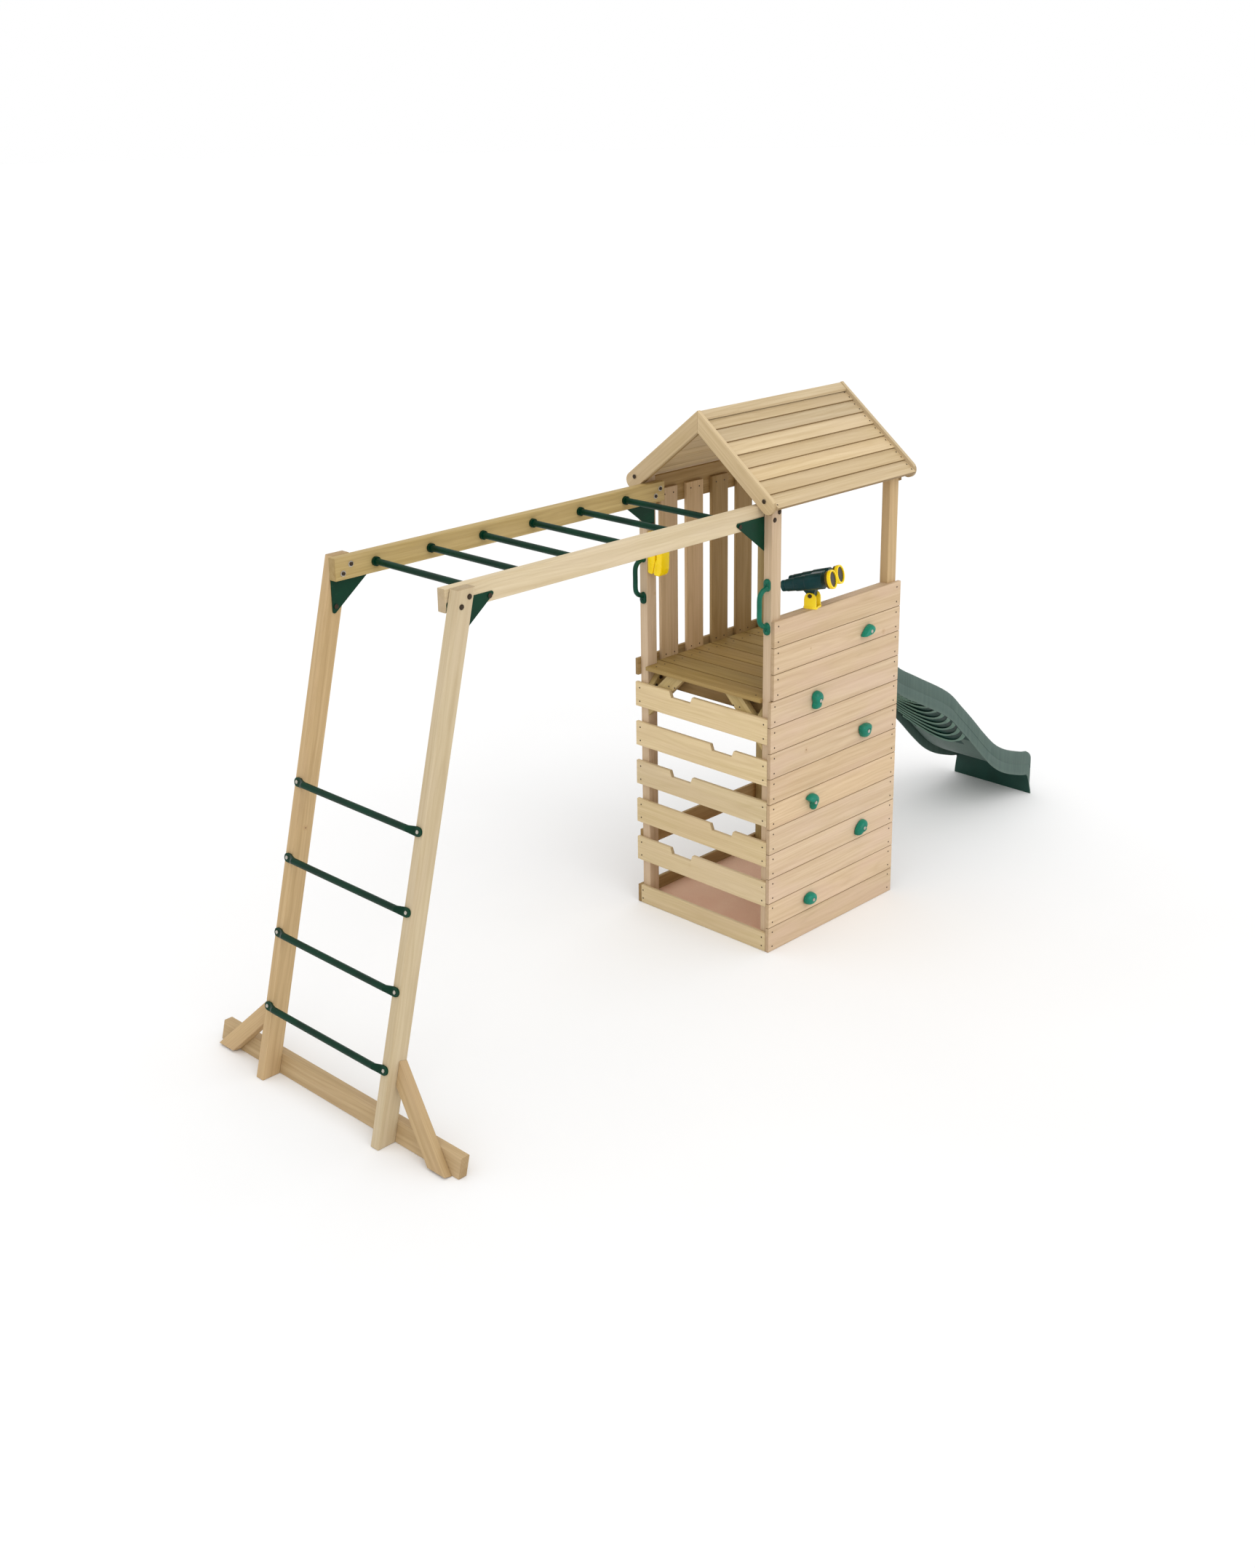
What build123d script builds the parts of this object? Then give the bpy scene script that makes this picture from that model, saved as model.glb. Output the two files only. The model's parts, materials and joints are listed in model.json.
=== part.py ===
"""A children's climbing tower with monkey bars: a boarded wooden tower with a deck, roof,
climbing wall, scramble ladder, slide and toys, joined by two beams with tubular rungs to an
A-frame ladder.  Millimetres, +Z up.  X runs along the monkey bars towards the slide and Y runs
across them, away from the climbing wall.  The origin is the centre of the footprint, on the ground.
"""

from build123d import *
import os
from math import cos, radians, sin, tan

# ---------------------------------------------------------------- driving dimensions
board_pitch = 120.0  # height of one cladding board with its joint
joint_gap = 2.0  # open joint between two cladding boards
deck_gap = 6.0
board = 18.0  # thickness of every board
ease = 2.0  # chamfer on the sawn edges
post_x, post_y = 62.0, 45.0  # tower post section
tower_x, tower_y = 882.0, 780.0  # over the tower posts
reach_ladder = 2239.0  # tower's left face to the ladder feet
reach_slide = 2440.0  # tower's left face to the slide's tip
deck_top = 1200.0
wall_boards = 13
sill_height = 90.0  # boards that close the sand pit
sand_depth = 28.0

beam_width, beam_height = 40.0, 90.0
plate = 4.0  # steel corner plates, between the beams and their uprights
beam_top = 2060.0
beam_left = -1752.0  # measured from the tower's left face
beam_right = 75.0
rung_count, rung_pitch, first_rung = 6, 276.0, -178.0
rung_radius, collar_radius, collar_length = 13.5, 19.0, 12.0
rung_socket = 30.0  # depth of the rung's end inside the beam

leg_width = 80.0
leg_lean = radians(13.9)
ladder_rungs, ladder_pitch, first_ladder_rung = 4, 297.0, 300.0
foot_beam_overhang, foot_beam_thickness, foot_beam_height = 365.0, 38.0, 80.0
brace_reach, brace_width = 330.0, 70.0

roof_pitch = radians(38.2)
roof_courses, course, ridge_cap_width = 7, 77.0, 42.0
roof_thin, roof_thick = 9.0, 16.0  # a roof board tapers between these
ridge_height = 2410.0  # where the two roof surfaces meet
roof_left, roof_right = -20.0, 942.0
barge_width = 74.0
barge_lift = 14.0  # the bargeboards' upper edges above the roof boards

slat_width, slat_count = 113.0, 4
knee_width, knee_thickness = 70.0, 30.0
knee_rise_across, knee_rise_along = 125.0, 72.0

slide_low_y, slide_high_y = 190.0, 650.0
slide_skin, slide_rim_width, slide_rim_height = 8.0, 24.0, 14.0
slide_wall_rise, slide_wall_drop = 90.0, 45.0

bolt_radius, bolt_hole, bolt_head = 5.0, 5.2, 11.0
screw_head, screw_proud = 3.5, 0.8
running_gap = 0.3

aim_yaw, aim_tilt = radians(-72.5), radians(13.5)  # where the toy binoculars point

# ---------------------------------------------------------------- places derived from them
x0 = (reach_ladder - reach_slide) / 2  # left face of the tower
x1 = x0 + tower_x
y0 = -tower_y / 2  # outer face of the posts on the climbing side
y1 = tower_y / 2
beam_bottom = beam_top - beam_height
beam_y = {"near": (y0 + post_y + plate, y0 + post_y + plate + beam_width),
          "far": (y1 - post_y - plate - beam_width, y1 - post_y - plate)}
post_band = {"near": (y0, y0 + post_y), "far": (y1 - post_y, y1)}
wall_top = wall_boards * board_pitch
deck_under = deck_top - board
foot_x = x0 - reach_ladder
side_sign = {"near": -1, "far": 1}  # towards the outside on each side

screws = []  # (point on a board's face, outward direction), filled as boards are made
os.makedirs("parts", exist_ok=True)


def save(piece, label):
    """Names the finished piece and writes it."""
    piece.part.label = label
    export_step(piece.part, f"parts/{label}.step")


def block(x, y, z):
    """Adds one sawn timber to the open part; x, y and z are (low, high)."""
    with Locations((x[0], y[0], z[0])):
        Box(x[1] - x[0], y[1] - y[0], z[1] - z[0], align=(Align.MIN, Align.MIN, Align.MIN))


def timber(label, x, y, z, holes=()):
    """Writes one straight timber, with bolt holes given as (point, outward direction, depth)."""
    with BuildPart() as piece:
        block(x, y, z)
        chamfer(piece.edges(), ease)
        for point, outward, depth in holes:
            with Locations(Plane(origin=point, z_dir=outward)):
                Hole(bolt_hole, depth)
    save(piece, label)


def leg_face(z):
    """X of the ladder legs' front face at a height."""
    return foot_x + z * tan(leg_lean)


def roof_under(y):
    """Height of the roof boards' underside above a point of Y."""
    return ridge_height - roof_thick / cos(roof_pitch) - abs(y) * tan(roof_pitch)


# ---------------------------------------------------------------- bolts of the main frame
# Each is (point under the head, outward direction, depth to the beam's inner face).
top_rail_z = (1925.0, 2064.0)
leg_bolts_x = x0 - 1703.0
tower_bolts_x = x0 + 30.0
plate_run, plate_drop, plate_top = 240.0, 185.0, beam_bottom + 40.0
plate_corners = ((x0 + 50.0, -1), (x0 - 1745.0, 1))  # upright edge and the way to the free end
beam_bolts = []
for side, out in side_sign.items():
    face = y0 if out < 0 else y1
    for x, dz in ((leg_bolts_x + 27.0, -33.0), (leg_bolts_x - 12.0, -64.0)):
        beam_bolts.append(((x, face, beam_top + dz), (0, out, 0), post_y + plate + beam_width))
    skin = board if side == "far" else 0.0
    for x, dz in ((tower_bolts_x + 16.0, -30.0), (tower_bolts_x - 14.0, -60.0)):
        beam_bolts.append(((x, face + out * skin, beam_top + dz), (0, out, 0),
                           skin + post_y + plate + beam_width))


def drill(side, face, depth, low_x, high_x):
    """Drills the open part where the bolts of one side pass between two places along X."""
    out = side_sign[side]
    for point, outward, _ in beam_bolts:
        if outward[1] == out and low_x < point[0] < high_x:
            with Locations(Plane(origin=(point[0], face, point[2]), z_dir=outward)):
                Hole(bolt_hole, depth)


# ---------------------------------------------------------------- tower posts
for side, (low, high) in post_band.items():
    for place, left in (("front", x0), ("slide", x1 - post_x)):
        with BuildPart() as post:
            with BuildSketch(Plane.YZ.offset(left)):
                with BuildLine():
                    Polyline((low, 0), (high, 0), (high, roof_under(high)),
                             (low, roof_under(low)), close=True)
                make_face()
            extrude(amount=post_x)
            chamfer(post.edges().filter_by(Axis.Z), ease)
            drill(side, y0 if side == "near" else y1, post_y, left, left + post_x)
        save(post, f"{place}_post_{side}")

# ---------------------------------------------------------------- climbing wall
hold_places = [(x0 + x, row * board_pitch + board_pitch / 2) for x, row in
               ((262.0, 1), (632.0, 3), (264.0, 5), (642.0, 7), (284.0, 9), (644.0, 11))]
hold_sizes = ((74, 52), (72, 56), (70, 66), (74, 56), (60, 76), (80, 50))
hold_depth = 34.0
with BuildPart() as wall:
    for row in range(wall_boards):
        left = x0 if row >= 10 else x0 - board
        block((left, x1 + board), (y0 - board, y0),
              (row * board_pitch, (row + 1) * board_pitch - joint_gap))
        for x in (left + 28.0, x1 - 12.0):
            for z in (24.0, board_pitch - 26.0):
                screws.append(((x, y0 - board, row * board_pitch + z), (0, -1, 0)))
    chamfer(wall.edges(), ease)
    with Locations(*[Plane(origin=(x, y0 - board, z), z_dir=(0, -1, 0)) for x, z in hold_places]):
        Hole(bolt_hole, board)
save(wall, "climbing_wall_boards")
timber("climbing_wall_top_rail", (x0 + post_x, x1 - post_x), (y0, y0 + 38.0),
       (wall_top - 70.0, wall_top - joint_gap))

# ---------------------------------------------------------------- notched ladder boards
notch_depth, notch_top, notch_floor = 30.0, 140.0, 117.0
notch_offset = 125.0  # centre of a notch from the tower's middle
notched_pitch, first_notched_top = 194.0, 340.0
for step in range(5):
    top = first_notched_top + step * notched_pitch
    bottom = top - (board_pitch - joint_gap)
    middle = notch_offset if step % 2 == 0 else -notch_offset
    with BuildPart() as rail:
        with BuildSketch(Plane.YZ.offset(x0 - board)):
            with BuildLine():
                Polyline((y0, bottom), (y1 + board, bottom), (y1 + board, top),
                         (middle + notch_top / 2, top),
                         (middle + notch_floor / 2, top - notch_depth),
                         (middle - notch_floor / 2, top - notch_depth),
                         (middle - notch_top / 2, top), (y0, top), close=True)
            make_face()
        extrude(amount=board)
        chamfer(rail.edges().filter_by(Axis.Y), ease)
    save(rail, f"notched_board_{step + 1}")
    for y in (y0 + 22.0, y1 - 8.0):
        for z in (bottom + 26.0, top - 26.0):
            screws.append(((x0 - board, y, z), (-1, 0, 0)))

# ---------------------------------------------------------------- sand pit sills and sand
with BuildPart() as sills:
    block((x0 - board, x0), (y0, y1 - 0.5), (0, sill_height))
    block((x1, x1 + board), (y0, y1 - 0.5), (0, sill_height))
    block((x0 - board, x1 + board), (y1, y1 + board), (0, sill_height))
    chamfer(sills.edges(), ease)
save(sills, "pit_sills")
for y in (y0 + 22.0, y1 - 14.0):
    for z in (24.0, sill_height - 24.0):
        screws.append(((x0 - board, y, z), (-1, 0, 0)))
        screws.append(((x1 + board, y, z), (1, 0, 0)))
with BuildPart() as sand:
    with BuildSketch():
        with Locations(((x0 + x1) / 2, 0)):
            Rectangle(tower_x, tower_y)
        with Locations([(x, y) for x in (x0 + post_x / 2, x1 - post_x / 2)
                        for y in (y0 + post_y / 2, y1 - post_y / 2)]):
            Rectangle(post_x, post_y, mode=Mode.SUBTRACT)
    extrude(amount=sand_depth)
save(sand, "sand_bed")

# ---------------------------------------------------------------- slat side
timber("slat_side_low_rail", (x0, x1 + board), (y1, y1 + board), (280.0, 370.0))
timber("slat_side_deck_rail", (x0 - board, x1 + board), (y1, y1 + board), (1150.0, 1230.0))
with BuildPart() as top_rail:
    block((x0 - board, x1 + board), (y1, y1 + board), top_rail_z)
    chamfer(top_rail.edges(), ease)
    drill("far", y1 + board, board, x0, x1)
save(top_rail, "slat_side_top_rail")
slat_room = tower_x - 2 * post_x
slat_gap = (slat_room - slat_count * slat_width) / (slat_count + 1)
with BuildPart() as slats:
    for number in range(slat_count):
        left = x0 + post_x + slat_gap + number * (slat_width + slat_gap)
        block((left, left + slat_width), (y1 - board, y1), (1150.0, 2005.0))
        for x in (left + 28.0, left + slat_width - 28.0):
            for z in (1215.0, 1975.0):
                screws.append(((x, y1 - board, z), (0, -1, 0)))
    chamfer(slats.edges(), ease)
save(slats, "guard_slats")

# ---------------------------------------------------------------- deck
joist_height, joist_width = 87.0, 38.0
nose = 16.0
with BuildPart() as deck:
    with BuildSketch(Plane.XY.offset(deck_under)):
        left = x0 - nose
        while left < x1 + nose - 1:
            right = min(left + board_pitch - deck_gap, x1 + nose)
            with Locations(((left + right) / 2, (y0 + y1 - board) / 2)):
                Rectangle(right - left, tower_y - board)
            left += board_pitch
        for x in ((x0 - nose, x0 + post_x), (x1 - post_x, x1 + nose)):
            for y in ((y0, y0 + post_y), (y1 - post_y, y1)):
                with Locations(((x[0] + x[1]) / 2, (y[0] + y[1]) / 2)):
                    Rectangle(x[1] - x[0] + 1.0, y[1] - y[0] + 1.0, mode=Mode.SUBTRACT)
    extrude(amount=board)
    chamfer(deck.edges().group_by(Axis.Z)[-1], 1.0)
save(deck, "deck_boards")
left = x0 - nose
while left < x1 - nose:
    for y in (y0 + 96.0, y1 - 84.0):
        screws.append(((left + 32.0, y, deck_top), (0, 0, 1)))
        screws.append(((min(left + 88.0, x1 - 8.0), y, deck_top), (0, 0, 1)))
    left += board_pitch

joist_z = (deck_under - joist_height, deck_under)
joist_front = (x0 + post_x + 2.0, x0 + post_x + 2.0 + joist_width)
joist_back = (x1 - post_x - 2.0 - joist_width, x1 - post_x - 2.0)
side_joist_width = 26.0
side_joists = ((y0 + post_y - side_joist_width, y0 + post_y),
               (y1 - post_y, y1 - post_y + side_joist_width))
inner_face = y1 - post_y - knee_thickness  # of the braces bolted to the posts' inner faces
with BuildPart() as joists:
    for x in (joist_front, joist_back):
        block(x, (-inner_face, inner_face), joist_z)
    for y in side_joists:
        block((x0 + post_x, x1 - post_x), y, joist_z)
    chamfer(joists.edges(), ease)
save(joists, "deck_joists")


def knee(plane, outward, rise):
    """Adds one 45 degree knee brace to the open part: its outline lies in the plane, from
    local x = 0 on the post up to the deck's underside, where local y = 0."""
    width = knee_width / cos(radians(45))
    with BuildSketch(plane) as outline:
        with BuildLine():
            Polyline((0, -rise - width), (outward * (rise + width), 0), (outward * rise, 0),
                     (0, -rise), close=True)
        make_face()
    extrude(outline.sketch, amount=knee_thickness)


with BuildPart() as along_knees:
    for y in (y0 + post_y, inner_face):
        for x, outward in ((x0, 1), (x1, -1)):
            knee(Plane(origin=(x, y + knee_thickness, deck_under), x_dir=(1, 0, 0),
                       z_dir=(0, -1, 0)), outward, knee_rise_along)
save(along_knees, "knee_braces_along")
with BuildPart() as across_knees:
    for x in (x0 + 1.0, x1 - 1.0 - knee_thickness):
        for y, outward in ((y0 + post_y, 1), (y1 - post_y, -1)):
            knee(Plane(origin=(x, y, deck_under), x_dir=(0, 1, 0), z_dir=(1, 0, 0)),
                 outward, knee_rise_across)
    add(along_knees.part, mode=Mode.SUBTRACT)
save(across_knees, "knee_braces_across")
knee_bolts = []
for x, way in ((x0, 1), (x1, -1)):
    for y in (131.0, 167.0):
        for out in (-1, 1):
            screws.append(((x + way * 1.0, out * (y1 - post_y - y), deck_under - 52.0),
                           (-way, 0, 0)))
    for out in (-1, 1):
        knee_bolts.append(((x + way * 52.0, out * inner_face, deck_under - 41.0), (0, -out, 0)))
        knee_bolts.append(((x + way * 22.0, out * inner_face, deck_under - 76.0), (0, -out, 0)))

# ---------------------------------------------------------------- monkey bars
rung_z = (beam_top + beam_bottom) / 2
for side, band in beam_y.items():
    inner = band[1] if side == "near" else band[0]
    with BuildPart() as beam:
        block((x0 + beam_left, x0 + beam_right), band, (beam_bottom, beam_top))
        chamfer(beam.edges(), ease)
        drill(side, band[0] if side == "near" else band[1], beam_width, foot_x, x1)
        for number in range(rung_count):
            x = x0 + first_rung - number * rung_pitch
            with Locations(Plane(origin=(x, inner, rung_z), z_dir=(0, -side_sign[side], 0))):
                Hole(rung_radius + 0.2, rung_socket + 1.0)
    save(beam, f"monkey_beam_{side}")

for number in range(rung_count):
    x = x0 + first_rung - number * rung_pitch
    low, high = beam_y["near"][1], beam_y["far"][0]
    with BuildPart() as rung:
        with BuildSketch(Plane.XZ.offset(rung_socket - low)):
            with Locations((x, rung_z)):
                Circle(rung_radius)
        extrude(amount=-(high - low + 2 * rung_socket))
        for start, length in ((low, collar_length), (high, -collar_length)):
            with BuildSketch(Plane.XZ.offset(-start)):
                with Locations((x, rung_z)):
                    Circle(collar_radius)
            extrude(amount=-length)
    save(rung, f"monkey_rung_{number + 1}")

# ---------------------------------------------------------------- triangular corner plates
plate_bolts = []
with BuildPart() as plates:
    for side, out in side_sign.items():
        upright_face = y0 + post_y if side == "near" else y1 - post_y
        for corner, way in plate_corners:
            with BuildSketch(Plane.XZ.offset(-upright_face)):
                with BuildLine():
                    FilletPolyline((corner, plate_top), (corner + way * plate_run, plate_top),
                                   (corner, plate_top - plate_drop), radius=9.0, close=True)
                make_face()
            extrude(amount=out * plate)
            drill(side, upright_face, plate, corner - plate_run, corner + plate_run)
            plate_bolts.append(((corner + way * (plate_run - 36.0), upright_face,
                                 plate_top - 16.0), (0, out, 0)))
            plate_bolts.append(((corner + way * 16.0, upright_face - out * plate,
                                 plate_top - plate_drop + 36.0), (0, -out, 0)))
save(plates, "corner_plates")

# ---------------------------------------------------------------- ladder
leg_slant = 1.0 / cos(leg_lean)
for side, (low, high) in post_band.items():
    with BuildPart() as leg:
        with BuildSketch(Plane.XZ.offset(-high)):
            with BuildLine():
                Polyline((foot_x, 0), (foot_x + leg_width * leg_slant, 0),
                         (leg_face(beam_top) + leg_width * leg_slant, beam_top),
                         (leg_face(beam_top), beam_top), close=True)
            make_face()
        extrude(amount=high - low)
        chamfer(leg.edges(), ease)
        drill(side, y0 if side == "near" else y1, post_y, foot_x, x0 - 1000.0)
    save(leg, f"ladder_leg_{side}")

with BuildPart() as foot_beam:
    back = foot_x + leg_width * leg_slant
    with BuildSketch(Plane.XZ.offset(-(y1 + foot_beam_overhang))):
        with BuildLine():
            Polyline((back, 0), (back + foot_beam_thickness * leg_slant, 0),
                     (back + foot_beam_thickness * leg_slant + foot_beam_height * tan(leg_lean),
                      foot_beam_height),
                     (back + foot_beam_height * tan(leg_lean), foot_beam_height), close=True)
        make_face()
    extrude(amount=tower_y + 2 * foot_beam_overhang)
    chamfer(foot_beam.edges(), ease)
save(foot_beam, "foot_beam")

lean_normal = (-cos(leg_lean), 0, sin(leg_lean))
drop = brace_width / cos(radians(45))
with BuildPart() as brace:
    for start, out in ((y0, -1), (y1, 1)):
        brace_plane = Plane(origin=(back, start, 0), x_dir=(0, out, 0), z_dir=lean_normal)
        up = 1 if brace_plane.y_dir.Z > 0 else -1
        with BuildSketch(brace_plane):
            with BuildLine():
                Polyline((0, up * brace_reach), (0, up * (brace_reach - drop)),
                         (brace_reach - drop, 0), (brace_reach, 0), close=True)
            make_face()
        extrude(amount=foot_beam_thickness)
    chamfer(brace.edges(), ease)
    with Locations((back, 0, -50.0)):
        Box(400, 2000, 100, mode=Mode.SUBTRACT)
save(brace, "foot_braces")

flat_length, flat_width, flat_thickness = 50.0, 36.0, 8.0
flat_straight = 15.0  # flat stretch beside the bolt
ladder_bolts = []
for number in range(ladder_rungs):
    z = first_ladder_rung + number * ladder_pitch
    centre = Vector(leg_face(z), 0, z)
    normal = Vector(*lean_normal)
    tube_plane = Plane(origin=centre + normal * (rung_radius + 1.0), x_dir=(0, 1, 0),
                       z_dir=lean_normal)
    ends = (y0 + post_y / 2, y1 - post_y / 2)
    with BuildPart() as rung:
        with BuildSketch(Plane(origin=tube_plane.origin + Vector(0, ends[0] + flat_length, 0),
                               z_dir=(0, 1, 0))):
            Circle(rung_radius)
        extrude(amount=ends[1] - ends[0] - 2 * flat_length)
        for end, way in ((ends[0], 1), (ends[1], -1)):
            with BuildSketch(Plane(origin=tube_plane.origin + Vector(0, end + way * flat_length, 0),
                                   z_dir=(0, way, 0))):
                Circle(rung_radius)
            with BuildSketch(Plane(origin=centre + normal * flat_thickness / 2
                                   + Vector(0, end + way * flat_straight, 0),
                                   x_dir=lean_normal, z_dir=(0, way, 0))):
                Rectangle(flat_thickness, flat_width)
            loft()
            with BuildSketch(Plane(origin=centre + Vector(0, end, 0), x_dir=(0, way, 0),
                                   z_dir=lean_normal)):
                Circle(flat_width / 2)
                with Locations((flat_straight / 2, 0)):
                    Rectangle(flat_straight, flat_width)
            extrude(amount=flat_thickness)
            with Locations(Plane(origin=centre + normal * flat_thickness + Vector(0, end, 0),
                                 z_dir=lean_normal)):
                Hole(bolt_hole, flat_thickness)
            ladder_bolts.append((centre + normal * flat_thickness + Vector(0, end, 0),
                                 lean_normal))
    save(rung, f"ladder_rung_{number + 1}")

# ---------------------------------------------------------------- roof
for side, out in side_sign.items():
    down = Vector(0, out * cos(roof_pitch), -sin(roof_pitch))
    normal = Vector(0, out * sin(roof_pitch), cos(roof_pitch))
    ridge = Vector(0, 0, ridge_height) - normal * roof_thick
    slope = Plane(origin=Vector(x0 + roof_left, 0, 0) + ridge, x_dir=down,
                  z_dir=(1, 0, 0))
    lift = 1 if slope.y_dir.dot(normal) > 0 else -1
    first = 20.0
    with BuildPart() as courses:
        for number in range(roof_courses):
            top = first + number * course
            low = top + course
            with BuildSketch(slope):
                with BuildLine():
                    Polyline((top, 0), (low - 0.6, 0), (low - 0.6, lift * roof_thick),
                             (top, lift * roof_thin), close=True)
                make_face()
            extrude(amount=roof_right - roof_left)
            taper = (roof_thick - roof_thin) / (course - 0.6)
            face_normal = (normal - down * taper).normalized()
            for x in (x0 + roof_left + 12.0, x0 + roof_right - 12.0):
                for along in (24.0, 58.0):
                    thick = roof_thin + taper * along
                    screws.append((Vector(x, 0, 0) + ridge + down * (top + along)
                                   + normal * thick, face_normal))
    save(courses, f"roof_boards_{side}")

cap = 8.0
with BuildPart() as caps:
    with BuildSketch(Plane.YZ.offset(x0 + roof_left)):
        with BuildLine():
            run = ridge_cap_width * cos(roof_pitch)
            fall = ridge_cap_width * sin(roof_pitch)
            apex = ridge_height + 1.0
            rise = cap / cos(roof_pitch)
            Polyline((0, apex), (run, apex - fall), (run, apex - fall + rise), (0, apex + rise),
                     (-run, apex - fall + rise), (-run, apex - fall), close=True)
        make_face()
    extrude(amount=roof_right - roof_left)
save(caps, "ridge_cap")

timber("ridge_beam", (x0, x1), (-19.0, 19.0), (roof_under(19.0) - 72.0, roof_under(19.0)))

barge_end = 452.0  # half width over the bargeboards
apex_gap = 0.3  # half the open joint where two boards meet at the ridge
with BuildPart() as barges:
    for x in (x0 + roof_left - board, x0 + roof_right):
        for out in (-1, 1):
            down = Vector(0, out * cos(roof_pitch), -sin(roof_pitch))
            slope = Plane(origin=(x, out * apex_gap, ridge_height + barge_lift), x_dir=down,
                          z_dir=(1, 0, 0))
            lift = 1 if slope.y_dir.Z > 0 else -1
            long = (barge_end - barge_width / 2) / cos(roof_pitch)
            plumb = barge_width * tan(roof_pitch)
            with BuildSketch(slope):
                with BuildLine():
                    Polyline((0, 0), (long, 0), (long, -lift * barge_width),
                             (plumb, -lift * barge_width), close=True)
                make_face()
                with Locations((long, -lift * barge_width / 2)):
                    Circle(barge_width / 2)
            extrude(amount=board)
save(barges, "bargeboards")
barge_bolts = []
for x, way in ((x0 + roof_left - board, -1), (x0 + roof_right + board, 1)):
    for out in (-1, 1):
        barge_bolts.append(((x, out * 377.0, ridge_height - 323.0), (way, 0, 0)))

rafter_depth, rafter_thickness = 58.0, 20.0
rafter_foot = tower_y / 2
with BuildPart() as rafters:
    for x in (x0 - rafter_thickness, x1):
        for out in (-1, 1):
            with BuildSketch(Plane.YZ.offset(x)):
                with BuildLine():
                    top = roof_under(apex_gap)
                    foot = roof_under(rafter_foot)
                    Polyline((out * apex_gap, top), (out * rafter_foot, foot),
                             (out * rafter_foot, foot - rafter_depth),
                             (out * apex_gap, top - rafter_depth), close=True)
                make_face()
            extrude(amount=rafter_thickness)
save(rafters, "rafters")

# ---------------------------------------------------------------- grab handles
grip_radius, stand_off = 11.5, 54.0
pad_size, pad_thickness = (36.0, 56.0), 9.0
handle_feet = (1511.0, 1726.0)
for side, (low, high) in post_band.items():
    y = (low + high) / 2
    with BuildPart() as handle:
        for z in handle_feet:
            with BuildSketch(Plane(origin=(x0, y, z), z_dir=(-1, 0, 0))):
                SlotOverall(pad_size[1], pad_size[0], rotation=90)
            extrude(amount=pad_thickness)
        inner_low, inner_high = handle_feet[0] + 12.0, handle_feet[1] - 12.0
        with BuildLine() as grip:
            FilletPolyline((x0 - 2.0, y, inner_low), (x0 - stand_off, y, inner_low + 22.0),
                           (x0 - stand_off, y, inner_high - 22.0), (x0 - 2.0, y, inner_high),
                           radius=28.0)
        with BuildSketch(Plane(origin=grip.line @ 0, z_dir=grip.line % 0)):
            Circle(grip_radius)
        sweep()
        with Locations(Plane(origin=(x0 + 50.0, y, 1618.0), z_dir=(1, 0, 0))):
            Box(500, 100, 100, mode=Mode.SUBTRACT)
    save(handle, f"grab_handle_{side}")

# ---------------------------------------------------------------- slide
# The sliding surface as (distance from the tower, height).
floor_line = ((17, 1206), (70, 1186), (130, 1118), (215, 1020), (325, 925), (480, 840), (740, 699),
              (876, 583), (982, 486), (1090, 382), (1198, 290), (1310, 225), (1455, 172),
              (1520, 156))
floor_points = [(x1 + x, z) for x, z in floor_line]
chute = (y0 + slide_low_y, y0 + slide_high_y)
tip = x0 + reach_slide
last_x, last_z = floor_points[-1]
lip_top, cheek_top = 96.0, 215.0


def strip(low, high, top_rise, bottom_rise):
    """Adds a band that follows the sliding surface, between two places along Y."""
    with BuildSketch(Plane.XZ.offset(-high)) as band:
        with BuildLine():
            upper = Spline([(x, z + top_rise) for x, z in floor_points])
            lower = Spline([(x, z + bottom_rise) for x, z in floor_points])
            Line(upper @ 0, lower @ 0)
            Line(upper @ 1, lower @ 1)
        make_face()
    extrude(band.sketch, amount=high - low)


with BuildPart() as slide:
    strip(chute[0], chute[1], 0, -slide_skin)
    for low, rim_low in ((chute[0], chute[0]),
                         (chute[1] - slide_skin, chute[1] - slide_rim_width)):
        strip(low, low + slide_skin, slide_wall_rise, -slide_wall_drop)
        strip(rim_low, rim_low + slide_rim_width, slide_wall_rise,
              slide_wall_rise - slide_rim_height)
        with BuildSketch(Plane.XZ.offset(-(low + slide_skin))):
            with BuildLine():
                Polyline((last_x, last_z + slide_wall_rise), (tip, cheek_top), (tip, 0),
                         (tip - 34.0, 0), (last_x, last_z - slide_wall_drop), close=True)
            make_face()
        extrude(amount=slide_skin)
        with BuildSketch(Plane.XZ.offset(-(rim_low + slide_rim_width))):
            with BuildLine():
                Polyline((last_x, last_z + slide_wall_rise), (tip, cheek_top),
                         (tip, cheek_top - slide_rim_height),
                         (last_x, last_z + slide_wall_rise - slide_rim_height), close=True)
            make_face()
        extrude(amount=slide_rim_width)
    with BuildSketch(Plane.XZ.offset(-chute[1])):
        with BuildLine():
            Polyline((last_x, last_z), (tip - 12.0, lip_top + 34.0), (tip, lip_top), (tip, 0),
                     (tip - slide_skin, 0), (tip - slide_skin, lip_top - 3.0),
                     (tip - 16.0, lip_top + 26.0), (last_x, last_z - slide_skin), close=True)
        make_face()
    extrude(amount=chute[1] - chute[0])
    block((x1 - 30.0, x1 + 18.0), chute, (deck_top, deck_top + 6.0))
save(slide, "slide")

# ---------------------------------------------------------------- climbing holds
with BuildPart() as holds:
    for (x, z), (width, height) in zip(hold_places, hold_sizes):
        for depth, share in ((0, 1.0), (hold_depth * 0.6, 0.94), (hold_depth, 0.6)):
            with BuildSketch(Plane(origin=(x, y0 - board - depth, z), x_dir=(1, 0, 0),
                                   z_dir=(0, -1, 0))):
                Ellipse(width / 2 * share, height / 2 * share)
        loft()
    with Locations(*[Plane(origin=(x, y0 - board - hold_depth, z), z_dir=(0, -1, 0))
                     for x, z in hold_places]):
        Hole(bolt_hole, hold_depth)
save(holds, "climbing_holds")

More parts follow.
